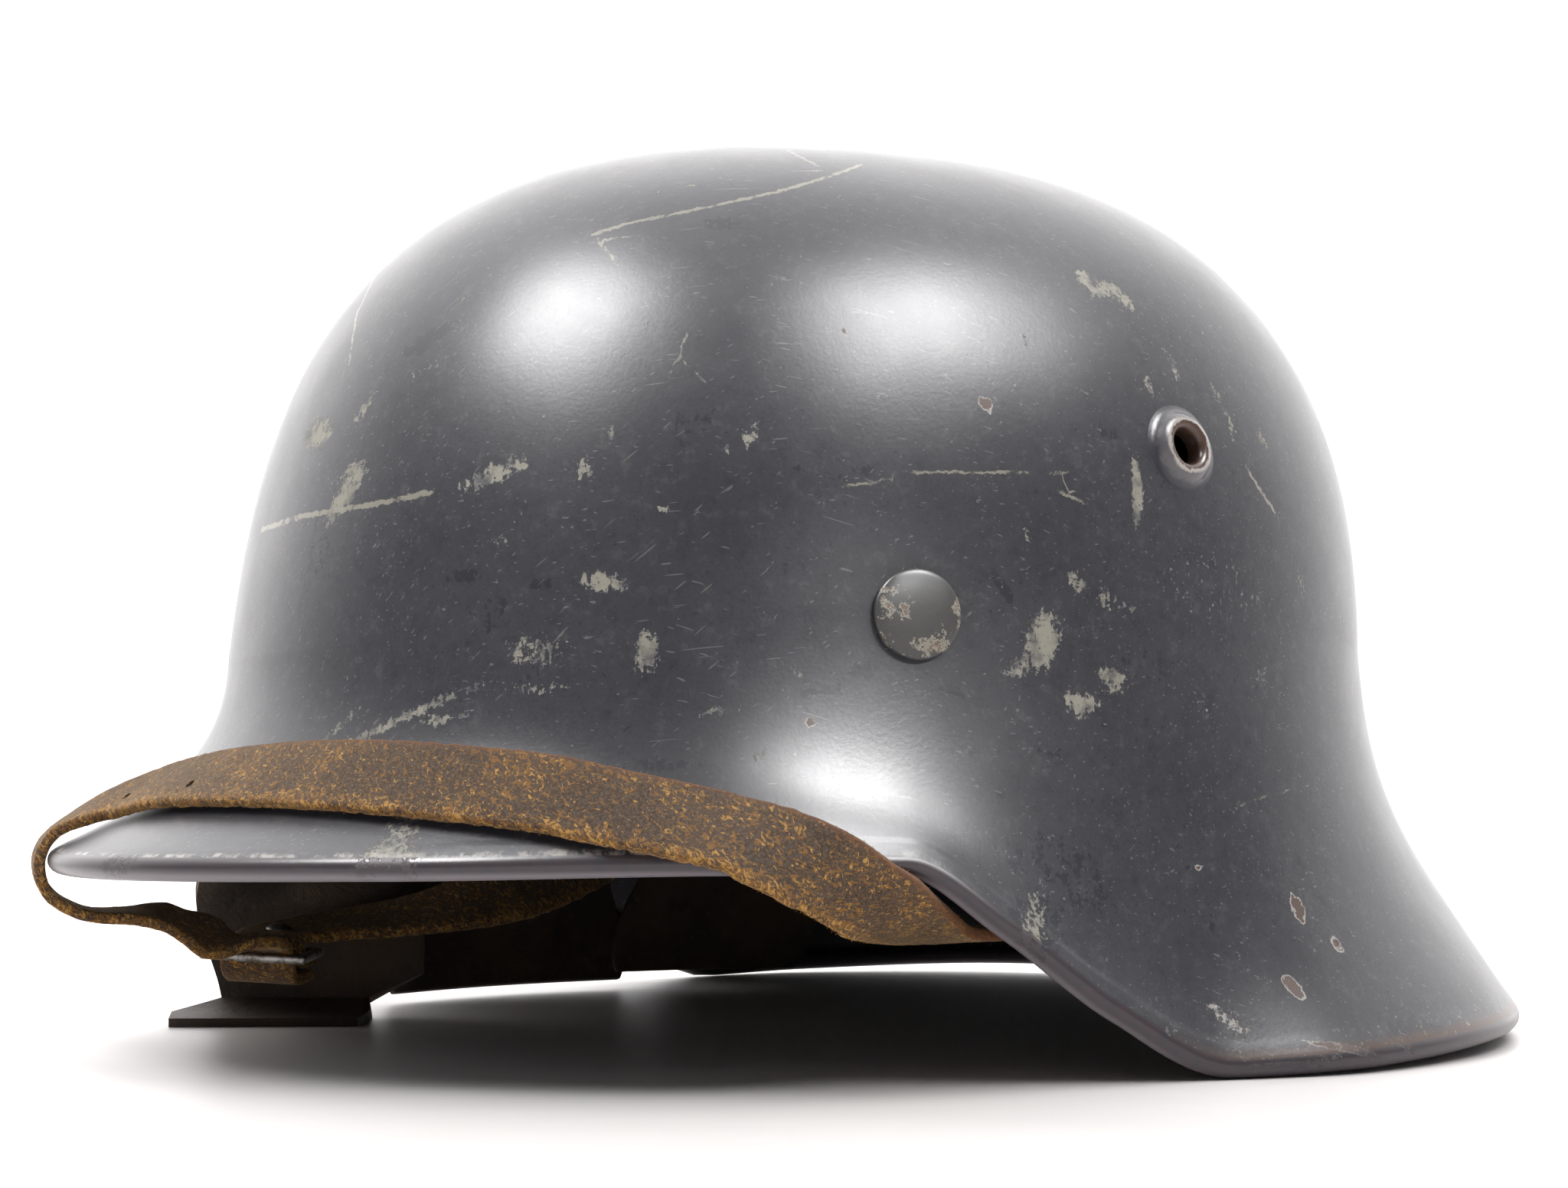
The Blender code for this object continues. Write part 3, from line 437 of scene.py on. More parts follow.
def shell_point(angle, down):
    """Point on the outer face: down runs from 0 at the crown to 1 at the waist and 2 at the rim."""
    waist_r = plan_radius(angle)
    waist_z = blend(wrapped(angle), WAIST_HEIGHTS)
    fullness = blend(wrapped(angle), DOME_FULLNESS)
    equator_z = waist_z - EQUATOR_DROP
    rise = CROWN_HEIGHT - equator_z
    low = EQUATOR_DROP / rise
    equator_r = waist_r / (1 - low ** fullness) ** (1 / fullness)
    if down <= 1:
        share = 1 - (1 - low) * sin(down * pi / 2) ** DOME_SPREAD
        radius = equator_r * max(1 - share ** fullness, 0.0) ** (1 / fullness)
        height = equator_z + rise * share
        back = CROWN_BACK_SHIFT * (height - waist_z) / (CROWN_HEIGHT - waist_z)
        return plan_point(angle, radius, height) + Vector((0, back, 0))
    slope = -low ** (fullness - 1) * (1 - low ** fullness) ** (1 / fullness - 1) * equator_r / rise
    rim = Vector((waist_r + rim_flare(angle), rim_height(angle)))
    reach = blend(wrapped(angle), FLARE_START) * (waist_z - rim.y)
    start = Vector((waist_r, waist_z))
    leave = Vector((waist_r - slope * reach, waist_z - reach))
    way = (rim - leave).normalized()
    up = Vector((-way.y, way.x))
    edge = rim + Vector((-ROLL_RADIUS, ROLL_RADIUS)) + up * ROLL_RADIUS
    arrive = edge - (rim - leave) * blend(wrapped(angle), FLARE_END)
    flat = bezier((start, leave, arrive, edge), down - 1)
    return plan_point(angle, flat.x, flat.y)


def shell_normal(angle, down):
    """Outward normal of the outer face."""
    side = shell_point(angle + SMALL_ANGLE, down) - shell_point(angle - SMALL_ANGLE, down)
    if down >= 2 - SMALL_SHARE:
        fall = shell_point(angle, down) - shell_point(angle, down - SMALL_SHARE)
    else:
        fall = shell_point(angle, down + SMALL_SHARE) - shell_point(angle, down - SMALL_SHARE)
    return fall.cross(side).normalized()


def share_at_height(angle, height):
    """Find how far down the shell a height lies at an angle."""
    low, high = 0.0, 2.0
    for _ in range(40):
        middle = (low + high) / 2
        if shell_point(angle, middle).z > height:
            low = middle
        else:
            high = middle
    return low


def roll_point(angle, turn):
    """Point on the rolled rim: turn is how far it has curled under, in degrees."""
    edge = shell_point(angle, 2)
    along = (shell_point(angle + SMALL_ANGLE, 2) - shell_point(angle - SMALL_ANGLE, 2)).normalized()
    out = shell_normal(angle, 2)
    away = along.cross(out).normalized()
    t = radians(turn)
    return edge - out * ROLL_RADIUS * (1 - cos(t)) + away * ROLL_RADIUS * sin(t)


def smooth_step(low, high, value):
    """Smooth rise from 0 at low to 1 at high, which may lie below it."""
    s = min(max((value - low) / (high - low), 0.0), 1.0)
    return s * s * (3 - 2 * s)


def shade_smooth(piece, angle=40):
    """Smooth shading that keeps sharp corners."""
    piece.data.shade_smooth()
    piece.data.set_sharp_from_angle(angle=radians(angle))


def mesh_piece(name, points, faces, material):
    """New mesh object in the scene with its material."""
    mesh = bpy.data.meshes.new(name)
    mesh.from_pydata([tuple(p) for p in points], [], faces)
    mesh.update()
    mesh.materials.append(material)
    piece = bpy.data.objects.new(name, mesh)
    bpy.context.scene.collection.objects.link(piece)
    return piece


def ring_faces(rows, columns):
    """Faces between closed rows of points."""
    faces = []
    for r in range(rows - 1):
        for c in range(columns):
            d = (c + 1) % columns
            faces.append((r * columns + c, (r + 1) * columns + c, (r + 1) * columns + d, r * columns + d))
    return faces


def recalculate(piece):
    """Turn all faces outward."""
    mesh = bmesh.new()
    mesh.from_mesh(piece.data)
    bmesh.ops.recalc_face_normals(mesh, faces=mesh.faces)
    mesh.to_mesh(piece.data)
    mesh.free()


def closed_piece(name, points, columns, material, angle):
    """Solid whose points run in closed rows, with a face on each end."""
    rows = len(points) // columns
    faces = ring_faces(rows, columns)
    faces.append(tuple(range(columns)))
    faces.append(tuple((rows - 1) * columns + c for c in range(columns)))
    piece = mesh_piece(name, points, faces, material)
    recalculate(piece)
    shade_smooth(piece, angle)
    return piece


def aimed(point, way):
    """Matrix at a point with its Z along a way."""
    return Matrix.Translation(point) @ way.to_track_quat("Z", "Y").to_matrix().to_4x4()


def turned(profile, columns, matrix, dents=0.0):
    """Points of a form turned about Z and moved by a matrix, a little out of round."""
    points = []
    for k, (radius, rise) in enumerate(profile):
        for c in range(columns):
            t = 2 * pi * c / columns
            out = radius * (1 + dents * noise.noise(Vector((2 * cos(t), 2 * sin(t), k * 0.2))))
            points.append(matrix @ Vector((out * cos(t), out * sin(t), rise)))
    return points


def store(piece, name, values):
    """Store one number for each point of a mesh."""
    field = piece.data.attributes.new(name, "FLOAT", "POINT")
    field.data.foreach_set("value", np.asarray(values, dtype=np.float32))


def hang(piece, node=None):
    """Carry a piece with the helmet, and in place of its frame node."""
    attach(piece, BODY)
    if node:
        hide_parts(node)


def apply_modifiers(piece):
    """Turn a piece's modifiers into its mesh."""
    graph = bpy.context.evaluated_depsgraph_get()
    mesh = bpy.data.meshes.new_from_object(piece.evaluated_get(graph))
    piece.modifiers.clear()
    old = piece.data
    piece.data = mesh
    bpy.data.meshes.remove(old)


class Nodes:
    """A node tree with short calls that add and link its nodes."""

    def __init__(self, tree):
        self.tree = tree

    def put(self, socket, value):
        """Link an output to a socket, or set the socket's value."""
        if isinstance(value, bpy.types.NodeSocket):
            self.tree.links.new(value, socket)
        elif value is not None:
            socket.default_value = (*value, 1.0) if socket.type == "RGBA" else value

    def add(self, kind, values=(), **settings):
        """New node with its settings, and with its inputs set or linked."""
        node = self.tree.nodes.new(f"ShaderNode{kind}")
        for name, value in settings.items():
            setattr(node, name, value)
        for name, value in dict(values).items():
            self.put(node.inputs[name], value)
        return node


class Shader(Nodes):
    """A material with short calls for its textures and sums. Lengths are in millimetres."""

    def __init__(self, name):
        self.material = bpy.data.materials.new(name)
        self.material.use_nodes = True
        super().__init__(self.material.node_tree)
        self.surface = self.tree.nodes["Principled BSDF"]
        place = self.add("TexCoord").outputs["Object"]
        self.place = self.add("VectorMath", {0: place, "Scale": 1 / MM}, operation="SCALE").outputs[0]

    def stretch(self, factors, turn=(0, 0, 0)):
        """Position turned first and then stretched."""
        values = {"Vector": self.place, "Rotation": [radians(t) for t in turn],
                  "Scale": [1 / f for f in factors]}
        return self.add("Mapping", values, vector_type="TEXTURE").outputs[0]

    def noise(self, scale, detail=4.0, roughness=0.55, place=None, distortion=0.0):
        """Noise value of a scale in features per millimetre."""
        values = {"Vector": place or self.place, "Scale": scale, "Detail": detail, "Roughness": roughness,
                  "Distortion": distortion}
        return self.add("TexNoise", values).outputs["Fac"]

    def cells(self, scale):
        """Voronoi distance of a scale in cells per millimetre."""
        return self.add("TexVoronoi", {"Vector": self.place, "Scale": scale}).outputs["Distance"]

    def math(self, operation, first, second=None):
        """Result of a sum named by its operation."""
        return self.add("Math", {0: first, 1: second}, operation=operation).outputs[0]

    def times(self, first, second):
        """Product of two numbers."""
        return self.math("MULTIPLY", first, second)

    def plus(self, first, second):
        """Sum of two numbers."""
        return self.math("ADD", first, second)

    def minus(self, first, second):
        """Difference of two numbers."""
        return self.math("SUBTRACT", first, second)

    def rise(self, value, low, high, top=1.0):
        """Smooth rise from 0 at low to top at high."""
        values = {"Value": value, "From Min": low, "From Max": high, "To Max": top}
        return self.add("MapRange", values, interpolation_type="SMOOTHSTEP").outputs[0]

    def field(self, name):
        """Number stored on the mesh."""
        return self.add("Attribute", attribute_name=name).outputs["Fac"]

    def shaken(self, name, scale, roughness, reach):
        """Number stored on the mesh, shaken by noise so that what follows it is ragged."""
        shake = self.times(self.minus(self.noise(scale, 5.0, roughness), 0.5), reach)
        return self.plus(self.field(name), shake)

    def mix(self, share, first, second):
        """Mix of two colours."""
        node = self.add("Mix", {"Factor": share}, data_type="RGBA")
        for socket, value in zip([s for s in node.inputs if s.type == "RGBA"], (first, second)):
            self.put(socket, value)
        return next(s for s in node.outputs if s.type == "RGBA")

    def bump(self, height, distance, normal=None):
        """Bump of a depth in millimetres."""
        return self.add("Bump", {"Distance": distance * MM, "Height": height, "Normal": normal}).outputs[0]

    def finish(self, colour, roughness, normal=None, metallic=0.0):
        """Set the surface and give the material."""
        for name, value in (("Base Color", colour), ("Roughness", roughness), ("Metallic", metallic),
                            ("Normal", normal)):
            self.put(self.surface.inputs[name], value)
        return self.material


def worn_noise(m, low, high, field_name, scale):
    """Ragged mask from a soft stored field and a fine noise."""
    grain = m.noise(scale, 6.0, 0.68)
    streak = m.noise(scale * 0.8, 4.0, 0.6, place=m.stretch((1.0, 1.0, 0.28)))
    both = m.plus(m.times(grain, 0.62), m.times(streak, 0.38))
    value = m.plus(m.times(m.field(field_name), 0.42), both)
    return m.rise(value, low, high)


def coat_colours(m):
    """Mottled coat with spots rubbed dark, pale pin marks and fine hairlines."""
    # Broad lighter clouds, then mottling to both sides and fine dark specks
    cloud = m.noise(0.035, 3.0)
    mottle = m.noise(0.35, 6.0, 0.72)
    colour = m.mix(m.rise(cloud, 0.35, 0.68), PAINT, PAINT_LIGHT)
    colour = m.mix(m.rise(mottle, 0.50, 0.70, 0.45), colour, PAINT_DARK)
    colour = m.mix(m.rise(mottle, 0.46, 0.34, 0.38), colour, PAINT_PALE)
    colour = m.mix(m.rise(m.noise(1.7, 5.0, 0.7), 0.50, 0.70, 0.45), colour, PAINT_DARK)
    # Places rubbed dark, and small dark flecks within the clouds
    dark = worn_noise(m, 0.715, 0.765, "dark", 0.75)
    fleck = m.times(m.rise(m.noise(0.45, 5.0, 0.7), 0.625, 0.66), m.rise(cloud, 0.40, 0.60))
    colour = m.mix(m.times(m.math("MAXIMUM", dark, fleck), 0.80), colour, PAINT_DARK)
    # Pale pin marks, and hairlines in three directions
    colour = m.mix(m.rise(m.noise(0.9, 2.0, 0.5), 0.735, 0.775, 0.5), colour, PRIMER)
    hair = None
    for turn in ((5, 0, -25), (-16, 0, -20), (40, 0, -30)):
        line = m.rise(m.noise(0.60, 1.0, 0.4, place=m.stretch((3.4, 0.10, 3.4), turn)), 0.735, 0.765, 0.22)
        hair = line if hair is None else m.math("MAXIMUM", hair, line)
    return m.mix(hair, colour, PALE_EDGE)


def scratched(m, colour):
    """Long scratches down to the primer, broken here and there."""
    off = m.math("ABSOLUTE", m.shaken("scratch_off", 0.55, 0.75, 2.0))
    wide = m.field("scratch_wide")
    line = m.rise(m.minus(wide, off), -0.08, 0.10)
    broken = m.rise(m.plus(m.noise(0.22, 5.0, 0.75), m.times(wide, 0.30)), 0.50, 0.62)
    return m.mix(m.times(m.times(line, broken), 0.85), colour, PRIMER)


def paint_material():
    """Old blue-grey paint: worn to the primer, rubbed dark, chipped to rust, polished at the bead, and with
    a painted floor reflection under the bead over the visor.
    """
    m = Shader("shell_paint_old")
    colour = scratched(m, coat_colours(m))
    # Patches worn to the primer, and chips of rusty steel with a pale edge
    worn = worn_noise(m, 0.715, 0.775, "worn", 1.25)
    colour = m.mix(m.times(worn, m.rise(m.noise(0.30, 3.0), 0.25, 0.60, 0.95)), colour, PRIMER)
    chip = m.times(m.field("rust"), m.plus(0.55, m.times(m.noise(0.9, 5.0, 0.7), 0.9)))
    colour = m.mix(m.rise(chip, 0.56, 0.62, 0.8), colour, PALE_EDGE)
    colour = m.mix(m.rise(chip, 0.66, 0.70), colour, BARE_BROWN)
    colour, polish = bead_colours(m, colour)
    # Fine grain, lower and duller where the coat is gone, and smoother on the bead
    edge = m.plus(worn, m.rise(chip, 0.58, 0.70))
    normal = m.bump(edge, -0.05, m.bump(m.noise(1.3, 4.0, 0.6), 0.022))
    rough = m.plus(0.31, m.times(m.noise(0.10, 3.0), 0.08))
    rough = m.plus(rough, m.times(edge, 0.22))
    rough = m.minus(rough, m.times(polish, 0.04))
    return m.finish(colour, rough, normal)


def bead_colours(m, colour):
    """Worn colours of the rolled rim and the pale line above it, with a painted reflection of the lit floor
    on the bead's underside over the visor.
    """
    # Pale broken line over the visor, brown edge and primer flecks on the skirt
    rim = m.field("rim")
    ragged = m.shaken("rim", 0.35, 0.7, 2.6)
    line_noise = m.noise(0.28, 4.0, 0.7, place=m.stretch((1, 1, 0.4)))
    line = m.times(m.rise(ragged, -1.6, -0.5), m.rise(line_noise, 0.44, 0.60))
    line = m.times(line, m.field("visor"))
    colour = m.mix(m.times(line, 0.75), colour, PALE_EDGE)
    rust_edge = m.times(m.rise(ragged, -2.6, -0.4), m.field("skirt"))
    colour = m.mix(m.times(rust_edge, 0.9), colour, BARE_BROWN)
    fleck = m.rise(m.noise(0.8, 5.0, 0.75), 0.60, 0.66)
    fleck = m.times(fleck, m.times(m.rise(rim, -6.0, -2.0), m.field("skirt")))
    colour = m.mix(m.times(fleck, 0.8), colour, PRIMER)
    # Top of the bead, its underside painted lighter over the visor as a painted reflection of the lit
    # floor, and plain paint where it has curled inside
    upper = m.rise(rim, -0.25, 0.15)
    colour = m.mix(upper, colour, m.mix(m.rise(m.noise(0.5, 4.0, 0.7), 0.4, 0.7), BEAD_UPPER, PAINT_LIGHT))
    lower = m.rise(rim, 2.2, 3.6)
    colour = m.mix(lower, colour, m.mix(m.field("skirt"), BEAD_UNDERSIDE_FLOOR_REFLECTION, BEAD_UPPER))
    return m.mix(m.rise(rim, 7.5, 9.0), colour, PAINT), upper


def shell_angles():
    """Plan angles round the shell, close together where the photo looks."""
    near = ceil((NEAR_TO - NEAR_FROM) / NEAR_STEP)
    far = ceil((360 - NEAR_TO + NEAR_FROM) / FAR_STEP)
    angles = [NEAR_FROM + (NEAR_TO - NEAR_FROM) * i / near for i in range(near)]
    angles += [NEAR_TO + (360 - NEAR_TO + NEAR_FROM) * i / far for i in range(far)]
    return angles


def unevenness(point):
    """Small inward waves of hand-worked steel, in metres."""
    wave = noise.noise(point * 22) + 0.5 * noise.noise(point * 61)
    return STEEL_WAVES * (wave - 1)


def shell_surface():
    """Points of the outer face and roll, their faces and the rim distance of each in millimetres."""
    angles = shell_angles()
    rows = []
    rim = []
    for r in range(DOME_STEPS):
        rows.append([shell_point(a, (r + 1) / DOME_STEPS) for a in angles])
        rim.append([-99.0] * len(angles))
    for r in range(FLARE_STEPS):
        share = 1 + (r + 1) / FLARE_STEPS
        rows.append([shell_point(a, share) for a in angles])
        rim.append([-(p - shell_point(a, 2)).length / MM for a, p in zip(angles, rows[-1])])
    for r in range(ROLL_STEPS):
        turn = ROLL_TURN * (r + 1) / ROLL_STEPS
        rows.append([roll_point(a, turn) for a in angles])
        rim.append([radians(turn) * ROLL_RADIUS / MM] * len(angles))
    points = [p for row in rows for p in row]
    rim = [value for row in rim for value in row]
    for p, beyond in zip(points, rim):
        if beyond < -3:
            side = Vector((p.x, p.y, max(p.z - 0.07, 0.0))).normalized()
            p += side * unevenness(p)
    faces = ring_faces(len(rows), len(angles))
    points.append(shell_point(0, 0))
    crown = len(points) - 1
    faces += [(crown, c, (c + 1) % len(angles)) for c in range(len(angles))]
    return points, faces, rim + [-99.0]


def seat(angle, height):
    """Point and normal of the outer face at a plan angle and height."""
    down = share_at_height(angle, height)
    return shell_point(angle, down), shell_normal(angle, down)


def vent_places():
    """Names, points and normals of the two vent holes."""
    angles = (("left", VENT_ANGLE), ("right", -VENT_ANGLE))
    return [(name, *seat(angle, VENT_HEIGHT)) for name, angle in angles]


def rivet_places():
    """Names, points and normals of the three liner rivets."""
    angles = (("left", RIVET_ANGLE), ("right", -RIVET_ANGLE), ("rear", 180))
    return [(name, *seat(angle, RIVET_HEIGHT)) for name, angle in angles]


def hit_pixel(tree, x, y):
    """Point and normal of the shell behind a photo pixel."""
    place = camera_axes()[0]
    point, normal, _, _ = tree.ray_cast(place, pixel_way(x, y))
    return point, normal


def soft_spots(tree, points, rows):
    """Field that is strong inside each patch of a table and fades at its edge."""
    field = np.zeros(len(points))
    for x, y, long, short, turn, amount in rows:
        centre = hit_pixel(tree, x, y)[0]
        if centre is None:
            continue
        t = radians(turn)
        first = hit_pixel(tree, x + SPOT_PROBE * cos(t), y + SPOT_PROBE * sin(t))[0]
        second = hit_pixel(tree, x - SPOT_PROBE * sin(t), y + SPOT_PROBE * cos(t))[0]
        if first is None or second is None:
            continue
        half_length = (first - centre) * long / SPOT_PROBE
        half_width = (second - centre) * short / SPOT_PROBE
        add_spot(field, points, centre, half_length, half_width, amount)
    return field


def add_spot(field, points, centre, first, second, amount):
    """Add one patch to a field, with its half length and half width as vectors."""
    away = points - np.array(centre)
    a, b = np.array(first), np.array(second)
    u = away @ a / (a @ a)
    v = away @ b / (b @ b)
    out = np.cross(a, b)
    off = away @ (out / np.linalg.norm(out))
    reach = np.sqrt(u * u + v * v)
    strength = amount * np.clip(1.6 - reach, 0, 1) * (np.abs(off) < SPOT_DEPTH)
    np.maximum(field, strength, out=field)


def random_spots(points, normals, count, amounts, sizes):
    """Patches at random over the sides that the photo doesn't show."""
    field = np.zeros(len(points))
    look = np.array(camera_axes()[0])
    for _ in range(count):
        i = dice.randrange(len(points))
        toward = look - points[i]
        if normals[i] @ toward > 0.02 * np.linalg.norm(toward):
            continue
        normal = Vector(normals[i])
        along = normal.cross(Vector((0, 0, 1)))
        if along.length < 0.1:
            along = Vector((1, 0, 0))
        along.normalize()
        across = normal.cross(along)
        t = dice.uniform(0, pi)
        first = (along * cos(t) + across * sin(t)) * dice.uniform(*sizes)
        second = (across * cos(t) - along * sin(t)) * dice.uniform(*sizes) * 0.5
        add_spot(field, points, points[i], first, second, dice.uniform(*amounts))
    return field


def scratch_lines(tree):
    """Scratches of the photo as points on the shell, and some more on the other sides."""
    lines = []
    for half, strength, *pixels in SCRATCHES:
        stops = []
        for (x0, y0), (x1, y1) in zip(pixels, pixels[1:]):
            stops += [hit_pixel(tree, x0 + (x1 - x0) * k / 3, y0 + (y1 - y0) * k / 3) for k in range(3)]
        stops.append(hit_pixel(tree, *pixels[-1]))
        stops = [stop for stop in stops if stop[0] is not None]
        if len(stops) > 1:
            lines.append((half, strength, stops))
    for _ in range(OTHER_SCRATCHES):
        angle = dice.choice((dice.uniform(-170, -25), dice.uniform(150, 185)))
        down = dice.uniform(0.35, 1.5)
        turn = dice.uniform(-8, 8)
        fall = dice.uniform(-0.12, 0.12)
        stops = []
        for k in range(5):
            a = angle + turn * k / 4
            d = down + fall * k / 4
            stops.append((shell_point(a, d), shell_normal(a, d)))
        lines.append((dice.uniform(0.15, 0.45), dice.uniform(0.3, 0.7), stops))
    return lines


def scratch_fields(points, lines):
    """Sideways distance to the nearest scratch in mm, and its half width there."""
    off = np.full(len(points), 9.0)
    wide = np.full(len(points), -1.0)
    nearest = np.full(len(points), SCRATCH_REACH)
    for half, strength, stops in lines:
        for k, ((a, normal), (b, _)) in enumerate(zip(stops, stops[1:])):
            start, end = np.array(a), np.array(b)
            way = end - start
            length = np.linalg.norm(way)
            side = np.cross(np.array(normal), way / length)
            away = points - start
            s = away @ way / (length * length)
            beyond = np.maximum(np.maximum(-s, s - 1), 0) * length
            sideways = away @ side
            distance = np.sqrt(sideways ** 2 + beyond ** 2)
            close = (distance < nearest) & (np.abs(away @ np.array(normal)) < 0.01)
            first = k == 0
            last = k == len(stops) - 2
            fade = np.where((s < 0) & first | (s > 1) & last, beyond / SCRATCH_FADE, 0.0)
            off[close] = sideways[close] / MM
            wide[close] = half * strength * 1.3 - fade[close]
            nearest[close] = distance[close]
    return off, wide


def cut(piece, cutter):
    """Cut one mesh with another and drop the cutter."""
    change = piece.modifiers.new("Cut", "BOOLEAN")
    change.operation = "DIFFERENCE"
    change.solver = "EXACT"
    change.object = cutter
    apply_modifiers(piece)
    bpy.data.objects.remove(cutter, do_unlink=True)


def rod(radius, length, point, normal):
    """Round cutter along a normal."""
    bpy.ops.mesh.primitive_cylinder_add(vertices=32, radius=radius, depth=length)
    piece = bpy.context.object
    piece.matrix_world = aimed(point, normal)
    bpy.context.view_layer.update()
    return piece


def build_shell(paint):
    """Fine shell with its wear stored on its points."""
    points, faces, rim = shell_surface()
    shell = mesh_piece("steel_shell", points, faces, paint)
    tree = BVHTree.FromPolygons(points, faces)
    flat = np.array([tuple(p) for p in points])
    normals = np.array([tuple(v.normal) for v in shell.data.vertices])
    for name, shown, other in (("worn", WORN_PATCHES, OTHER_WORN), ("dark", DARK_PATCHES, OTHER_DARK),
                               ("rust", RUST_CHIPS, OTHER_CHIPS)):
        store(shell, name, np.maximum(soft_spots(tree, flat, shown), random_spots(flat, normals, *other)))
    off, wide = scratch_fields(flat, scratch_lines(tree))
    plan = np.degrees(np.arctan2(flat[:, 0], -(flat[:, 1] + CENTRE_Y)))
    visor = np.array([smooth_step(84, 72, abs(a)) for a in plan])
    skirt = np.array([smooth_step(96, 110, abs(a)) for a in plan])
    for name, values in (("scratch_off", off), ("scratch_wide", wide), ("rim", rim), ("visor", visor),
                         ("skirt", skirt)):
        store(shell, name, values)
    wall = shell.modifiers.new("Wall", "SOLIDIFY")
    wall.thickness = WALL
    wall.offset = -1
    wall.use_even_offset = True
    apply_modifiers(shell)
    for _, point, normal in vent_places():
        cut(shell, rod(VENT_BORE_RADIUS * 1.05, 0.02, point, normal))
    for _, point, normal in rivet_places():
        cut(shell, rod(RIVET_SHANK_RADIUS + GAP, 0.01, point, normal))
    shade_smooth(shell, 60)
    hang(shell, "shell")
    return tree


def vent_material():
    """Paint that is worn off the raised lip, down to brown steel inside."""
    m = Shader("vent_paint")
    out = m.shaken("out_mm", 0.6, 0.7, 1.6)
    bore = VENT_BORE_RADIUS / MM
    lip = VENT_LIP_RADIUS / MM
    base = VENT_BASE_RADIUS / MM
    colour = m.mix(m.rise(out, bore * 0.9, bore * 1.15), VENT_INSIDE, BARE_BROWN)
    colour = m.mix(m.rise(out, bore * 1.42, bore * 1.52), colour, PALE_EDGE)
    colour = m.mix(m.rise(out, lip * 1.02, lip * 1.14), colour, VENT_COLLAR)
    colour = m.mix(m.rise(out, base * 0.86, base * 1.0), colour, PAINT)
    bumps = m.bump(m.noise(1.3, 4.0, 0.6), 0.03)
    return m.finish(colour, 0.30, bumps)


def build_vents(tree, material):
    """Raised craters that follow the shell round each vent hole."""
    columns = 64
    bore, lip, base = VENT_BORE_RADIUS, VENT_LIP_RADIUS, VENT_BASE_RADIUS
    profile = (
        (bore, -WALL * 1.3), (bore, -WALL * 0.4), (bore * 1.01, VENT_RISE * 0.35),
        (bore * 1.08, VENT_RISE * 0.66), (bore * 1.20, VENT_RISE * 0.88), (lip * 0.88, VENT_RISE * 0.98),
        (lip, VENT_RISE),
        (lip * 1.12, VENT_RISE * 0.92), (lip * 1.24, VENT_RISE * 0.68), (lip * 1.34, VENT_RISE * 0.38),
        (base * 0.99, VENT_RISE * 0.15), (base * 1.08, VENT_RISE * 0.045), (base * 1.2, -GAP * 0.2),
        (base * 1.2, -WALL * 0.8), (bore * 1.3, -WALL * 1.3),
    )
    for number, (name, centre, normal) in enumerate(vent_places()):
        first = normal.cross(Vector((0, 0, 1))).normalized()
        second = normal.cross(first)
        points = []
        out_mm = []
        for radius, rise in profile:
            for c in range(columns):
                t = 2 * pi * c / columns
                wobble = 1 + 0.025 * noise.noise(Vector((cos(t), sin(t), number * 3.0)))
                spot = centre + (first * cos(t) + second * sin(t)) * radius * wobble
                hit = tree.ray_cast(spot + normal * 0.01, -normal)[0]
                points.append(hit + normal * rise)
                out_mm.append(radius / MM)
        rows = len(profile)
        faces = ring_faces(rows, columns)
        faces += [((rows - 1) * columns + c, c, (c + 1) % columns, (rows - 1) * columns + (c + 1) % columns)
                  for c in range(columns)]
        vent = mesh_piece(f"vent_{name}", points, faces, material)
        recalculate(vent)
        store(vent, "out_mm", out_mm)
        shade_smooth(vent, 70)
        hang(vent)


def rivet_material():
    """Greyer paint over steel, chipped to brown with a pale edge."""
    m = Shader("rivet_paint_old")
    patch = m.noise(0.16, 6.0, 0.72)
    colour = m.mix(m.noise(1.2, 4.0, 0.7), RIVET_GREY, PAINT_LIGHT)
    colour = m.mix(m.rise(patch, 0.570, 0.585), colour, PRIMER)
    colour = m.mix(m.rise(patch, 0.605, 0.620), colour, RIVET_BROWN)
    rough = m.plus(0.36, m.times(m.rise(patch, 0.59, 0.62), 0.2))
    normal = m.bump(m.rise(patch, 0.590, 0.635), -0.06, m.bump(m.noise(1.5, 4.0), 0.02))
    return m.finish(colour, rough, normal)


def build_rivets(material):
    """Low domed heads, shanks through the wall and flat tails inside."""
    columns = 56
    tail = WALL + BAND_SPACING + BAND_THICKNESS + GAP * 3
    head = RIVET_HEAD_RADIUS
    top = GAP + RIVET_HEAD_EDGE
    turns = (0.15, 0.35, 0.6, 0.85, 1.1, 1.3, 1.45)
    profile = [(head * sin(t), top + RIVET_HEAD_RISE * cos(t)) for t in turns]
    profile += [(head, top - 0.1 * MM), (head, GAP + 0.15 * MM), (head - 0.15 * MM, GAP)]
    profile += [(RIVET_SHANK_RADIUS, GAP), (RIVET_SHANK_RADIUS, -tail), (RIVET_TAIL_RADIUS, -tail),
                (RIVET_TAIL_RADIUS, -tail - RIVET_TAIL_THICKNESS)]
    for name, centre, normal in rivet_places():
        points = turned(profile, columns, aimed(centre, normal), 0.012)
        rivet = closed_piece(f"liner_rivet_{name}", points, columns, material, 50)
        hang(rivet, f"rivet_{name}")


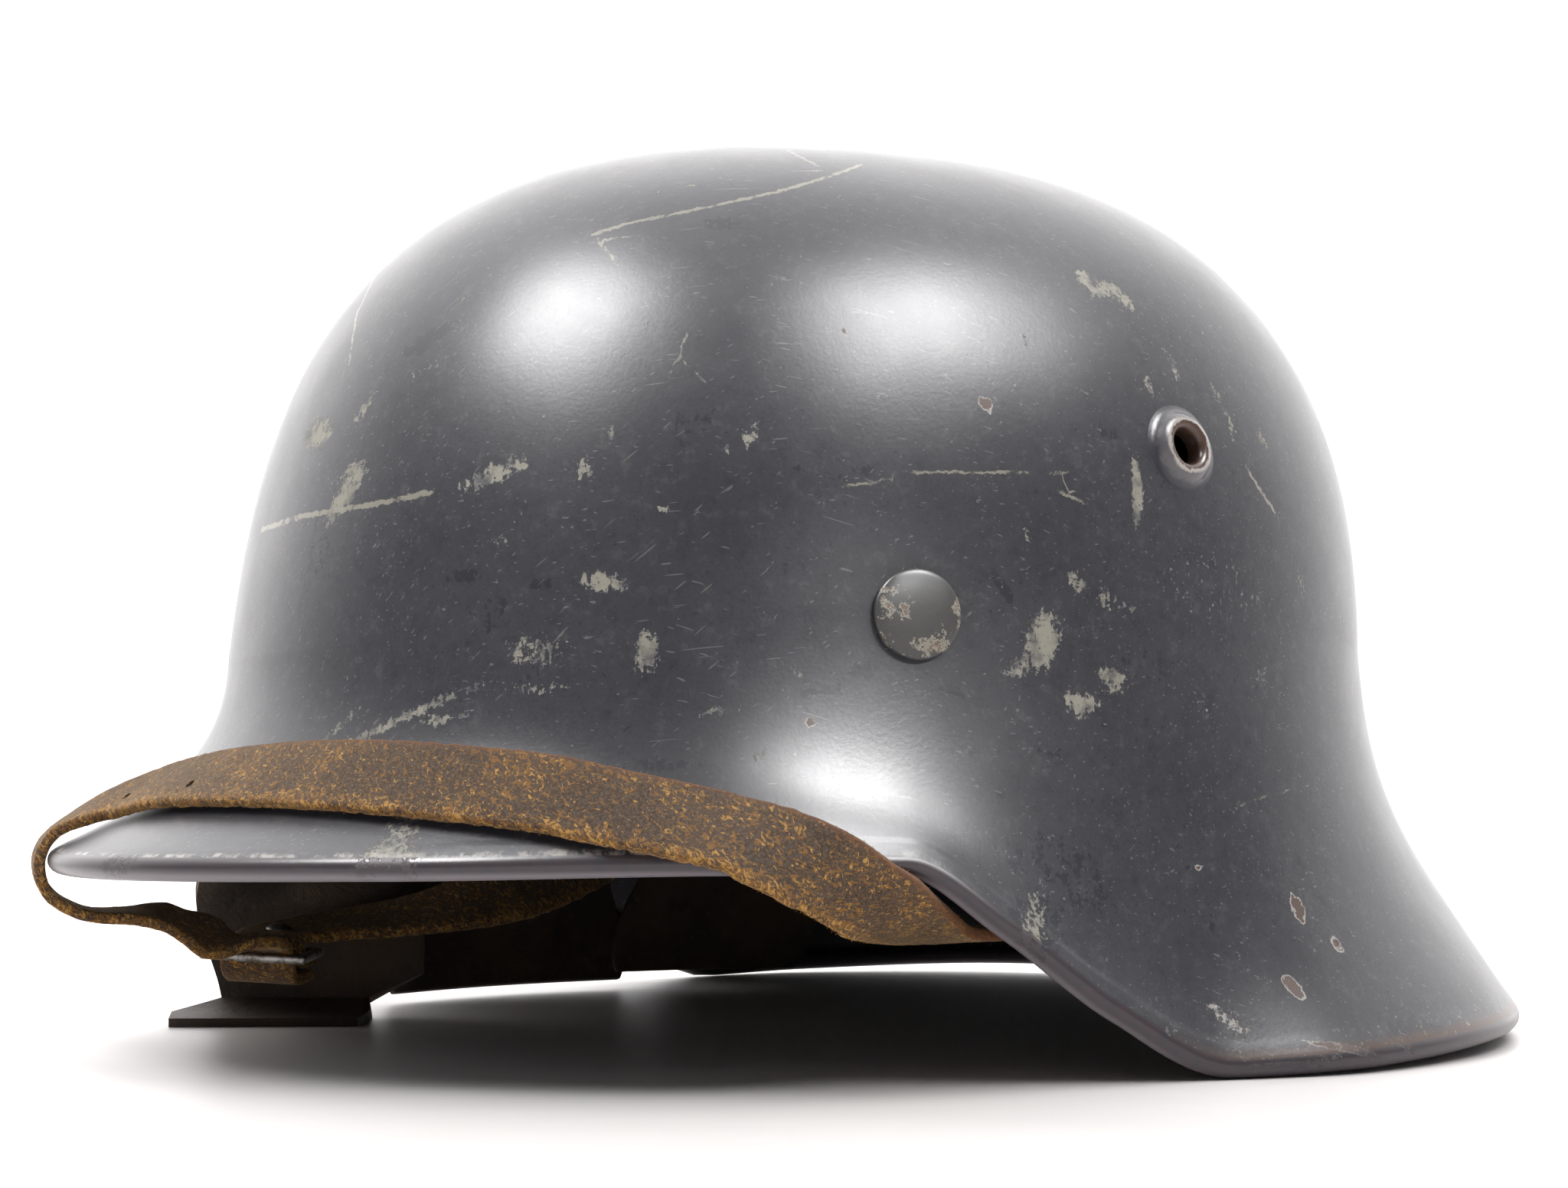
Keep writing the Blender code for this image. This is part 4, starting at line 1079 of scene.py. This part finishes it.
def smooth_route(rows, step):
    """Even sections along a smooth curve through rows of place and width direction."""
    fine = []
    padded = [rows[0]] + list(rows) + [rows[-1]]
    for a, b, c, d in zip(padded, padded[1:], padded[2:], padded[3:]):
        length = (c[0] - b[0]).length
        leave = (c[0] - a[0]) * length / (length + (b[0] - a[0]).length)
        arrive = (d[0] - b[0]) * length / (length + (d[0] - c[0]).length)
        pieces = max(int(length / step * 3), 3)
        for k in range(pieces):
            s = k / pieces
            fine.append((eased_mix(b[0], c[0], leave, arrive, s), b[1].lerp(c[1], s).normalized()))
    fine.append(rows[-1])
    sections = [fine[0]]
    for place, width in fine[1:-1]:
        if (place - sections[-1][0]).length >= step:
            sections.append((place, width))
    sections.append(fine[-1])
    return sections


def across_and_face(ahead, width):
    """Width direction squared to the way ahead, and the direction of the face."""
    across = (width - ahead * width.dot(ahead)).normalized()
    return across, ahead.cross(across)


def eased(sections, passes):
    """Smooth the places and directions of sections, with the ends kept."""
    for _ in range(passes):
        inner = []
        for a, b, c in zip(sections, sections[1:], sections[2:]):
            inner.append((a[0] * 0.25 + b[0] * 0.5 + c[0] * 0.25, (a[1] + b[1] * 2 + c[1]).normalized()))
        sections = [sections[0]] + inner + [sections[-1]]
    return sections


def bale_frame(angle):
    """Matrix of a bale: X along its width, Y up, Z outward, with its bar at the origin."""
    a = radians(angle)
    outward = Vector((sin(a), -cos(a), 0))
    up = Vector((0, 0, 1))
    along = up.cross(outward)
    radius = plan_radius(angle, WALL + BAND_SPACING) + GAP + BALE_THICKNESS / 2 + GAP
    place = plan_point(angle, radius, BAND_BASE - BALE_DROP + BALE_BAR / 2)
    matrix = Matrix((along, up, outward)).transposed().to_4x4()
    return Matrix.Translation(place) @ matrix


def bale_fold(angle, inward_first):
    """Strap rows round the bale's bar, from the cut end to the side that leads away."""
    matrix = bale_frame(angle)
    clear = BALE_THICKNESS / 2 + STRAP_THICKNESS / 2 + 2 * GAP
    over = BALE_BAR / 2 + STRAP_THICKNESS / 2 + 2 * GAP
    shape = ((-clear, -2.6 * clear), (-clear, 0), (-clear * 0.72, over * 0.8), (0, over * 1.08),
             (clear * 0.72, over * 0.8), (clear, 0), (clear, -3.2 * clear))
    sign = 1 if inward_first else -1
    width = matrix.to_3x3() @ Vector((1, 0, 0))
    return [(matrix @ Vector((0, up, sign * out)), width) for out, up in shape]


def on_shell(angle, share):
    """Strap row on the outer face, its width running down the shell."""
    down = share_at_height(angle, share * VISOR_HEIGHT)
    lift = STRAP_THICKNESS / 2 + GAP + STRAP_LIFT
    place = shell_point(angle, down) + shell_normal(angle, down) * lift
    fall = shell_point(angle, min(down + 0.05, 2)) - shell_point(angle, down - 0.05)
    return place, fall.normalized()


def off_rim(angle, out, up, width):
    """Strap row placed from the edge of the rim, outward and up from its underside."""
    radius = plan_radius(angle) + rim_flare(angle) + out * STRAP_WIDTH
    return plan_point(angle, radius, rim_height(angle) + up * STRAP_WIDTH), Vector(width).normalized()


def off_ring(angle, inward, up, width):
    """Strap row placed inside the liner ring, at a height over the floor."""
    radius = plan_radius(angle, WALL + BAND_SPACING) - inward * STRAP_WIDTH
    return plan_point(angle, radius, up * STRAP_WIDTH), Vector(width).normalized()


def buckle_frame_matrix():
    """Matrix of the buckle: X along its width, Y the way the straps run, Z up."""
    ahead = Vector((-0.86, 0.50, 0.04)).normalized()
    width = Vector((0.50, 0.86, -0.05)).normalized()
    up = ahead.cross(width) * -1
    width = ahead.cross(up)
    place = plan_point(BUCKLE_ANGLE, WAIST_FRONT - BUCKLE_INSET, BUCKLE_HEIGHT)
    return Matrix.Translation(place) @ Matrix((width, ahead, up)).transposed().to_4x4()


def strap_rows():
    """Rows of the long and the short strap, as the frame has them."""
    buckle = buckle_frame_matrix()
    across = buckle.to_3x3() @ Vector((1, 0, 0))
    layer = BUCKLE_THICKNESS / 2 + STRAP_THICKNESS / 2 + GAP * 1.5
    bar = BUCKLE_LENGTH / 2 - BUCKLE_BAR / 2
    long_rows = bale_fold(BALE_ANGLE, True)
    long_rows += [off_rim(*row) for row in UNDER_RIM_ROWS]
    long_rows += [on_shell(*row) for row in ON_SHELL_ROWS]
    long_rows += [off_rim(*row) for row in OVER_FRONT_ROWS]
    through = ((-1.8, 1.6), (-1.35, 1.3), (-1, 1.05), (-0.68, 0.80), (-0.56, 0.15), (-0.50, -0.60),
               (-0.33, -1.35), (0, -1.95), (0.5, -2.2), (1.1, -2.25), (1.9, -2.2))
    long_rows += [(buckle @ Vector((0, along * bar, up * layer)), across) for along, up in through]
    fold = ((bar * 2.2, -1), (bar, -1), (bar - layer * 0.90, -0.82), (bar - layer * 1.14, 0),
            (bar - layer * 0.90, 0.82), (bar, 1), (bar * 1.8, 1.1))
    short_rows = [(buckle @ Vector((0, along, up * layer)), across) for along, up in fold]
    short_rows += [off_ring(*row) for row in INSIDE_ROWS]
    short_rows += list(reversed(bale_fold(-BALE_ANGLE, False)))
    return long_rows, short_rows


def strap_outline():
    """Cross-section of a strap as shares of its half width and half thickness, with soft edges."""
    across = 13
    top = [(-0.93 + 1.86 * k / (across - 1), 1.0) for k in range(across)]
    right = [(0.985, 0.72), (1.0, 0.25), (1.0, -0.25), (0.985, -0.72)]
    bottom = [(x, -1.0) for x, _ in reversed(top)]
    left = [(-x, y) for x, y in reversed(right)]
    return top + right + bottom + left


def build_strap(name, node, rows, material):
    """Rough leather strap with soft ragged edges. Its width runs towards the lower edge."""
    sections = eased(smooth_route(rows, STRAP_STEP), 4)
    outline = strap_outline()
    points = []
    side_mm = []
    gone = 0.0
    for i, (place, width) in enumerate(sections):
        before = sections[max(i - 1, 0)][0]
        after = sections[min(i + 1, len(sections) - 1)][0]
        gone += (place - before).length
        ahead = (after - before).normalized()
        across, face = across_and_face(ahead, width)
        short = noise.noise(Vector((gone * 900, 3, 1)))
        long = noise.noise(Vector((gone * 260, 7, 2)))
        ragged_low = 0.35 * MM * (short + 0.8 * long)
        ragged_top = 0.20 * MM * noise.noise(Vector((gone * 500, 11, 5)))
        for x, y in outline:
            reach = STRAP_WIDTH / 2 * x
            if x > 0.9:
                reach += ragged_low
            elif x < -0.9:
                reach += ragged_top
            spot = place + across * reach + face * STRAP_THICKNESS / 2 * y
            rough = noise.noise(spot * 1400) * 0.06 * MM + noise.noise(spot * 500) * 0.08 * MM
            points.append(spot + face * y * rough)
            side_mm.append(reach / MM)
    strap = closed_piece(name, points, len(outline), material, 70)
    store(strap, "side_mm", side_mm)
    hang(strap, node)
    return strap, sections


def strap_material():
    """Rough side of old leather: dark brown with short orange and yellow fibres, and a painted highlight
    along the top edge.
    """
    m = Shader("strap_rough")
    # Fibres in two sizes, thicker towards the lower edge
    fleck = m.noise(0.72, 3.0, 0.60, place=m.stretch((1.2, 0.9, 2.4), (0, 35, 20)), distortion=0.9)
    second = m.noise(0.85, 3.0, 0.62, place=m.stretch((2.0, 1.6, 0.8), (30, 0, -40)), distortion=0.9)
    tone = m.noise(0.09, 3.0)
    base = m.mix(m.rise(tone, 0.38, 0.66), STRAP_DARK, STRAP_BROWN)
    grey = m.mix(m.rise(m.noise(2.2, 3.0), 0.42, 0.62), base, STRAP_GREY)
    edge = m.rise(m.math("ABSOLUTE", m.field("side_mm")), 4.6, 6.6)
    lower = m.rise(m.field("side_mm"), 3.6, 6.8)
    push = m.plus(m.times(lower, 0.07), m.times(m.rise(tone, 0.40, 0.62), 0.04))
    fibres = m.rise(m.plus(fleck, push), 0.55, 0.64, 0.9)
    colour = m.mix(fibres, grey, STRAP_ORANGE)
    bright = m.rise(m.plus(second, push), 0.62, 0.68, 0.9)
    colour = m.mix(bright, colour, STRAP_YELLOW)
    colour = m.mix(m.rise(m.noise(1.6, 3.0, 0.6), 0.60, 0.72, 0.8), colour, STRAP_PIT)
    # Painted highlight: the top edge of the strap is painted red-orange where the overhead light catches it
    colour = m.mix(m.times(m.rise(m.field("side_mm"), -5.8, -6.9), 0.7), colour, STRAP_TOP_EDGE_HIGHLIGHT)
    colour = m.mix(m.times(edge, 0.10), colour, STRAP_EDGE)
    height = m.plus(m.times(fleck, 0.7), m.times(second, 0.5))
    normal = m.bump(height, 0.22, m.bump(m.noise(4.0, 3.0), 0.06))
    for name, value in (("Sheen Weight", 0.25), ("Sheen Roughness", 0.5), ("Sheen Tint", STRAP_SHEEN),
                        ("Specular IOR Level", 0.25)):
        m.put(m.surface.inputs[name], value)
    return m.finish(colour, 0.92, normal)


def build_fibres(sections, material):
    """Small loose fibres that stand off the edges and the face of the long strap."""
    points = []
    faces = []
    for _ in range(FIBRE_COUNT):
        i = dice.randrange(4, len(sections) - 4)
        place, width = sections[i]
        ahead = (sections[i + 1][0] - sections[i - 1][0]).normalized()
        across, face = across_and_face(ahead, width)
        kind = dice.random()
        if kind < 0.65:
            edge = across if kind < 0.45 else -across
            root = place + edge * (STRAP_WIDTH / 2 - 0.1 * MM) + face * dice.uniform(-0.8, 0.8) * MM
            way = edge + ahead * dice.uniform(-1.1, 1.1) + face * dice.uniform(-0.5, 0.5)
        else:
            out = face * dice.choice((-1, 1))
            root = place + across * dice.uniform(-0.48, 0.48) * STRAP_WIDTH + out * STRAP_THICKNESS * 0.48
            way = out * 0.5 + ahead * dice.uniform(-1, 1) + across * dice.uniform(-1, 1)
        length = dice.uniform(0.20, 0.62) * MM
        thick = dice.uniform(0.05, 0.10) * MM
        tip = root + way.normalized() * length
        first = way.cross(face + ahead * 0.3).normalized() * thick
        second = way.cross(first).normalized() * thick
        start = len(points)
        points += [root + first, root - first * 0.5 + second, root - first * 0.5 - second, tip]
        faces += [(start, start + 1, start + 3), (start + 1, start + 2, start + 3),
                  (start + 2, start, start + 3), (start, start + 2, start + 1)]
    fibres = mesh_piece("strap_fibres", points, faces, material)
    recalculate(fibres)
    hang(fibres)


def fibre_material():
    """Orange-brown of torn leather fibre."""
    m = Shader("strap_fibre")
    colour = m.mix(m.noise(0.8, 2.0), FIBRE_DARK, FIBRE_LIGHT)
    return m.finish(colour, 0.9)


def liner_material():
    """Old dark liner leather: dry, creased and stained."""
    m = Shader("liner_leather_old")
    stain = m.noise(0.045, 5.0, 0.6)
    grain = m.cells(0.9)
    colour = m.mix(m.rise(stain, 0.35, 0.65), LINER_DARK, LINER_BROWN)
    colour = m.mix(m.rise(m.noise(0.5, 6.0, 0.75), 0.58, 0.72, 0.5), colour, LINER_WORN)
    crease = m.noise(0.16, 5.0, 0.7, distortion=1.2)
    normal = m.bump(grain, 0.05, m.bump(crease, 0.5))
    rough = m.plus(0.50, m.times(stain, 0.35))
    return m.finish(colour, rough, normal)


def liner_metal_material():
    """Dull grey plated steel with a few brown stains."""
    m = Shader("liner_metal_old")
    stain = m.noise(0.12, 5.0, 0.7)
    colour = m.mix(m.rise(stain, 0.50, 0.66), PLATING, PLATING_STAIN)
    rough = m.plus(0.32, m.times(m.rise(stain, 0.45, 0.65), 0.35))
    normal = m.bump(m.noise(1.4, 4.0), 0.03)
    return m.finish(colour, rough, normal, 0.9)


def buckle_material():
    """Grey steel with a worn bright edge."""
    m = Shader("buckle_steel")
    stain = m.noise(0.3, 5.0, 0.7)
    colour = m.mix(m.rise(stain, 0.46, 0.64), BUCKLE_STEEL, BUCKLE_STAIN)
    rough = m.plus(0.26, m.times(stain, 0.25))
    return m.finish(colour, rough, m.bump(m.noise(2.0, 3.0), 0.02), 1.0)


def spread_forward(piece, reach):
    """Spread the low front edge of a hanging tongue, so that the dark liner shows no slit."""
    ys = [vertex.co.y for vertex in piece.data.vertices]
    front, middle = min(ys), (min(ys) + max(ys)) / 2
    for vertex in piece.data.vertices:
        share = max((middle - vertex.co.y) / (middle - front), 0.0)
        vertex.co.y -= reach * share * smooth_step(BAND_BASE, BAND_BASE * 0.6, vertex.co.z)


def refined(node, name, material, levels=0, bevel=0.0, waves=0.0, reach=0.0):
    """Finer piece made on a copy of a node's mesh, with rounded edges or soft waves."""
    mesh = bmesh.new()
    mesh.from_mesh(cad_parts[node].data)
    bmesh.ops.remove_doubles(mesh, verts=mesh.verts, dist=0.00002)
    bmesh.ops.join_triangles(mesh, faces=mesh.faces, angle_face_threshold=radians(25),
                             angle_shape_threshold=radians(75))
    data = bpy.data.meshes.new(name)
    mesh.to_mesh(data)
    mesh.free()
    data.materials.clear()
    data.materials.append(material)
    piece = bpy.data.objects.new(name, data)
    bpy.context.scene.collection.objects.link(piece)
    if bevel:
        soft = piece.modifiers.new("Edges", "BEVEL")
        soft.width = bevel
        soft.segments = 3
        soft.limit_method = "ANGLE"
        soft.angle_limit = radians(40)
    if levels:
        smooth = piece.modifiers.new("Smooth", "SUBSURF")
        smooth.levels = levels
        smooth.render_levels = levels
        smooth.subdivision_type = "CATMULL_CLARK"
    apply_modifiers(piece)
    if waves:
        for vertex in piece.data.vertices:
            p = vertex.co.copy()
            shift = waves * (noise.noise(p * 55) + 0.5 * noise.noise(p * 160))
            vertex.co = p + Vector((shift, shift * 0.6, 0)) * smooth_step(0.0006, 0.006, p.z)
    if reach:
        spread_forward(piece, reach)
    shade_smooth(piece, 40)
    hang(piece, node)


def build_stud(material):
    """Small domed stud that holds the short strap's fold by the buckle."""
    buckle = buckle_frame_matrix()
    layer = BUCKLE_THICKNESS / 2 + STRAP_THICKNESS + GAP * 1.5
    place = Matrix.Translation((0, BUCKLE_LENGTH / 2 * 1.5, layer))
    columns = 32
    profile = [(STUD_RADIUS * sin(t), STUD_RISE * cos(t)) for t in (0.2, 0.5, 0.8, 1.1, 1.4, pi / 2)]
    profile += [(STUD_RADIUS, -0.3 * MM)]
    stud = closed_piece("buckle_stud", turned(profile, columns, buckle @ place), columns, material, 50)
    hang(stud)


def add_floor():
    """Plain white floor."""
    m = Shader("white_floor")
    grime = m.noise(0.012, 4.0)
    colour = m.mix(m.rise(grime, 0.4, 0.7), FLOOR_LIGHT, FLOOR_GREY)
    material = m.finish(colour, 0.45, m.bump(m.noise(0.3, 3.0), 0.05))
    corners = ((-1, -1, 0), (1, -1, 0), (1, 1, 0), (-1, 1, 0))
    points = [Vector(corner) * FLOOR_REACH for corner in corners]
    floor = mesh_piece("floor", points, [(0, 1, 2, 3)], material)


def hang_light(light, point, way):
    """Hang a light at a point, looking back along a way."""
    lamp = bpy.data.objects.new(light.name, light)
    bpy.context.scene.collection.objects.link(lamp)
    lamp.matrix_world = aimed(point, way)
    return lamp


def soft_box(name, target, way, power, glossy):
    """Square light that looks at a point on the helmet and gives either its highlight or its soft light."""
    light = bpy.data.lights.new(name, "AREA")
    light.shape = "RECTANGLE"
    light.size, light.size_y = BOX_SIZE
    light.energy = power
    way = Vector(way).normalized()
    lamp = hang_light(light, Vector(target) + way * BOX_DISTANCE, way)
    lamp.visible_glossy = glossy
    lamp.visible_diffuse = not glossy


def add_flare_spots():
    """Narrow spots side by side that lay the third highlight on the flare over the strap."""
    for number, (angle, down, power) in enumerate(FLARE_SPOT_ROWS):
        point = shell_point(angle, down)
        seen = (point - camera_axes()[0]).normalized()
        way = seen.reflect(shell_normal(angle, down))
        light = bpy.data.lights.new(f"highlight_flare_{number + 1}", "SPOT")
        light.energy = power
        light.shadow_soft_size = FLARE_SPOT_RADIUS
        light.spot_size = radians(FLARE_SPOT_WIDTH)
        light.spot_blend = 1.0
        lamp = hang_light(light, point + way * FLARE_SPOT_DISTANCE, way)
        lamp.visible_diffuse = False
        lamp.visible_camera = False


def add_soft_boxes():
    """Two soft boxes overhead, each with a light for its highlight and one for its soft light."""
    for end, target, way in BOX_ROWS:
        soft_box(f"highlight_{end}", target, way, HIGHLIGHT_POWER, True)
        soft_box(f"fill_{end}", target, way, FILL_POWER, False)


def add_room():
    """A room that is white behind the helmet and darker before it, and a white backdrop."""
    world = bpy.data.worlds.new("white_room")
    bpy.context.scene.world = world
    world.use_nodes = True
    world.node_tree.nodes.clear()
    w = Nodes(world.node_tree)
    a = radians(CAMERA_AZIMUTH)
    place = w.add("TexCoord").outputs["Generated"]
    toward = w.add("VectorMath", {0: place, 1: (sin(a), -cos(a), -0.60)}, operation="DOT_PRODUCT")
    values = {"Value": toward.outputs["Value"], "From Min": -1.25, "From Max": 0.15, "To Min": ROOM_BEHIND,
              "To Max": ROOM_BEFORE}
    fall = w.add("MapRange", values, interpolation_type="SMOOTHSTEP")
    room = w.add("Background", {"Color": ROOM_WHITE, "Strength": fall.outputs[0]})
    seen = w.add("Background", {"Color": WHITE, "Strength": BACKDROP_STRENGTH})
    path = w.add("LightPath").outputs["Is Camera Ray"]
    both = w.add("MixShader", {0: path, 1: room.outputs[0], 2: seen.outputs[0]})
    w.add("OutputWorld", {0: both.outputs[0]})
    bpy.context.scene.view_settings.view_transform = "Standard"


def build_scene():
    """Every piece of the helmet, the floor, the lights and the camera."""
    add_camera()
    tree = build_shell(paint_material())
    build_vents(tree, vent_material())
    build_rivets(rivet_material())
    leather = liner_material()
    metal = liner_metal_material()
    buckle = buckle_material()
    for i in range(1, 9):
        refined(f"tongue_{i}", f"liner_tongue_{i}", leather, levels=2, bevel=0.0005,
                waves=LEATHER_WAVES, reach=SLIT_SPREAD if i == 6 else 0.0)
    refined("sweatband", "liner_sweatband", leather, bevel=0.0004)
    refined("liner_band", "liner_ring", metal, bevel=0.0002)
    for side in ("left", "right"):
        refined(f"bale_{side}", f"strap_bale_{side}", metal, bevel=0.0004)
    refined("buckle_frame", "strap_buckle", buckle, bevel=0.0005)
    build_stud(buckle)
    rough = strap_material()
    long_rows, short_rows = strap_rows()
    strap, sections = build_strap("long_strap", "chin_strap", long_rows, rough)
    build_strap("short_strap", "strap_short", short_rows, rough)
    build_fibres(sections, fibre_material())
    strap_tree = BVHTree.FromPolygons([v.co for v in strap.data.vertices],
                                      [tuple(p.vertices) for p in strap.data.polygons])
    for x, y in STRAP_HOLES:
        point, normal = hit_pixel(strap_tree, x, y)
        if point is not None:
            cut(strap, rod(STRAP_HOLE_RADIUS, 0.006, point, normal))
    add_floor()
    add_soft_boxes()
    add_flare_spots()
    add_room()


build_scene()
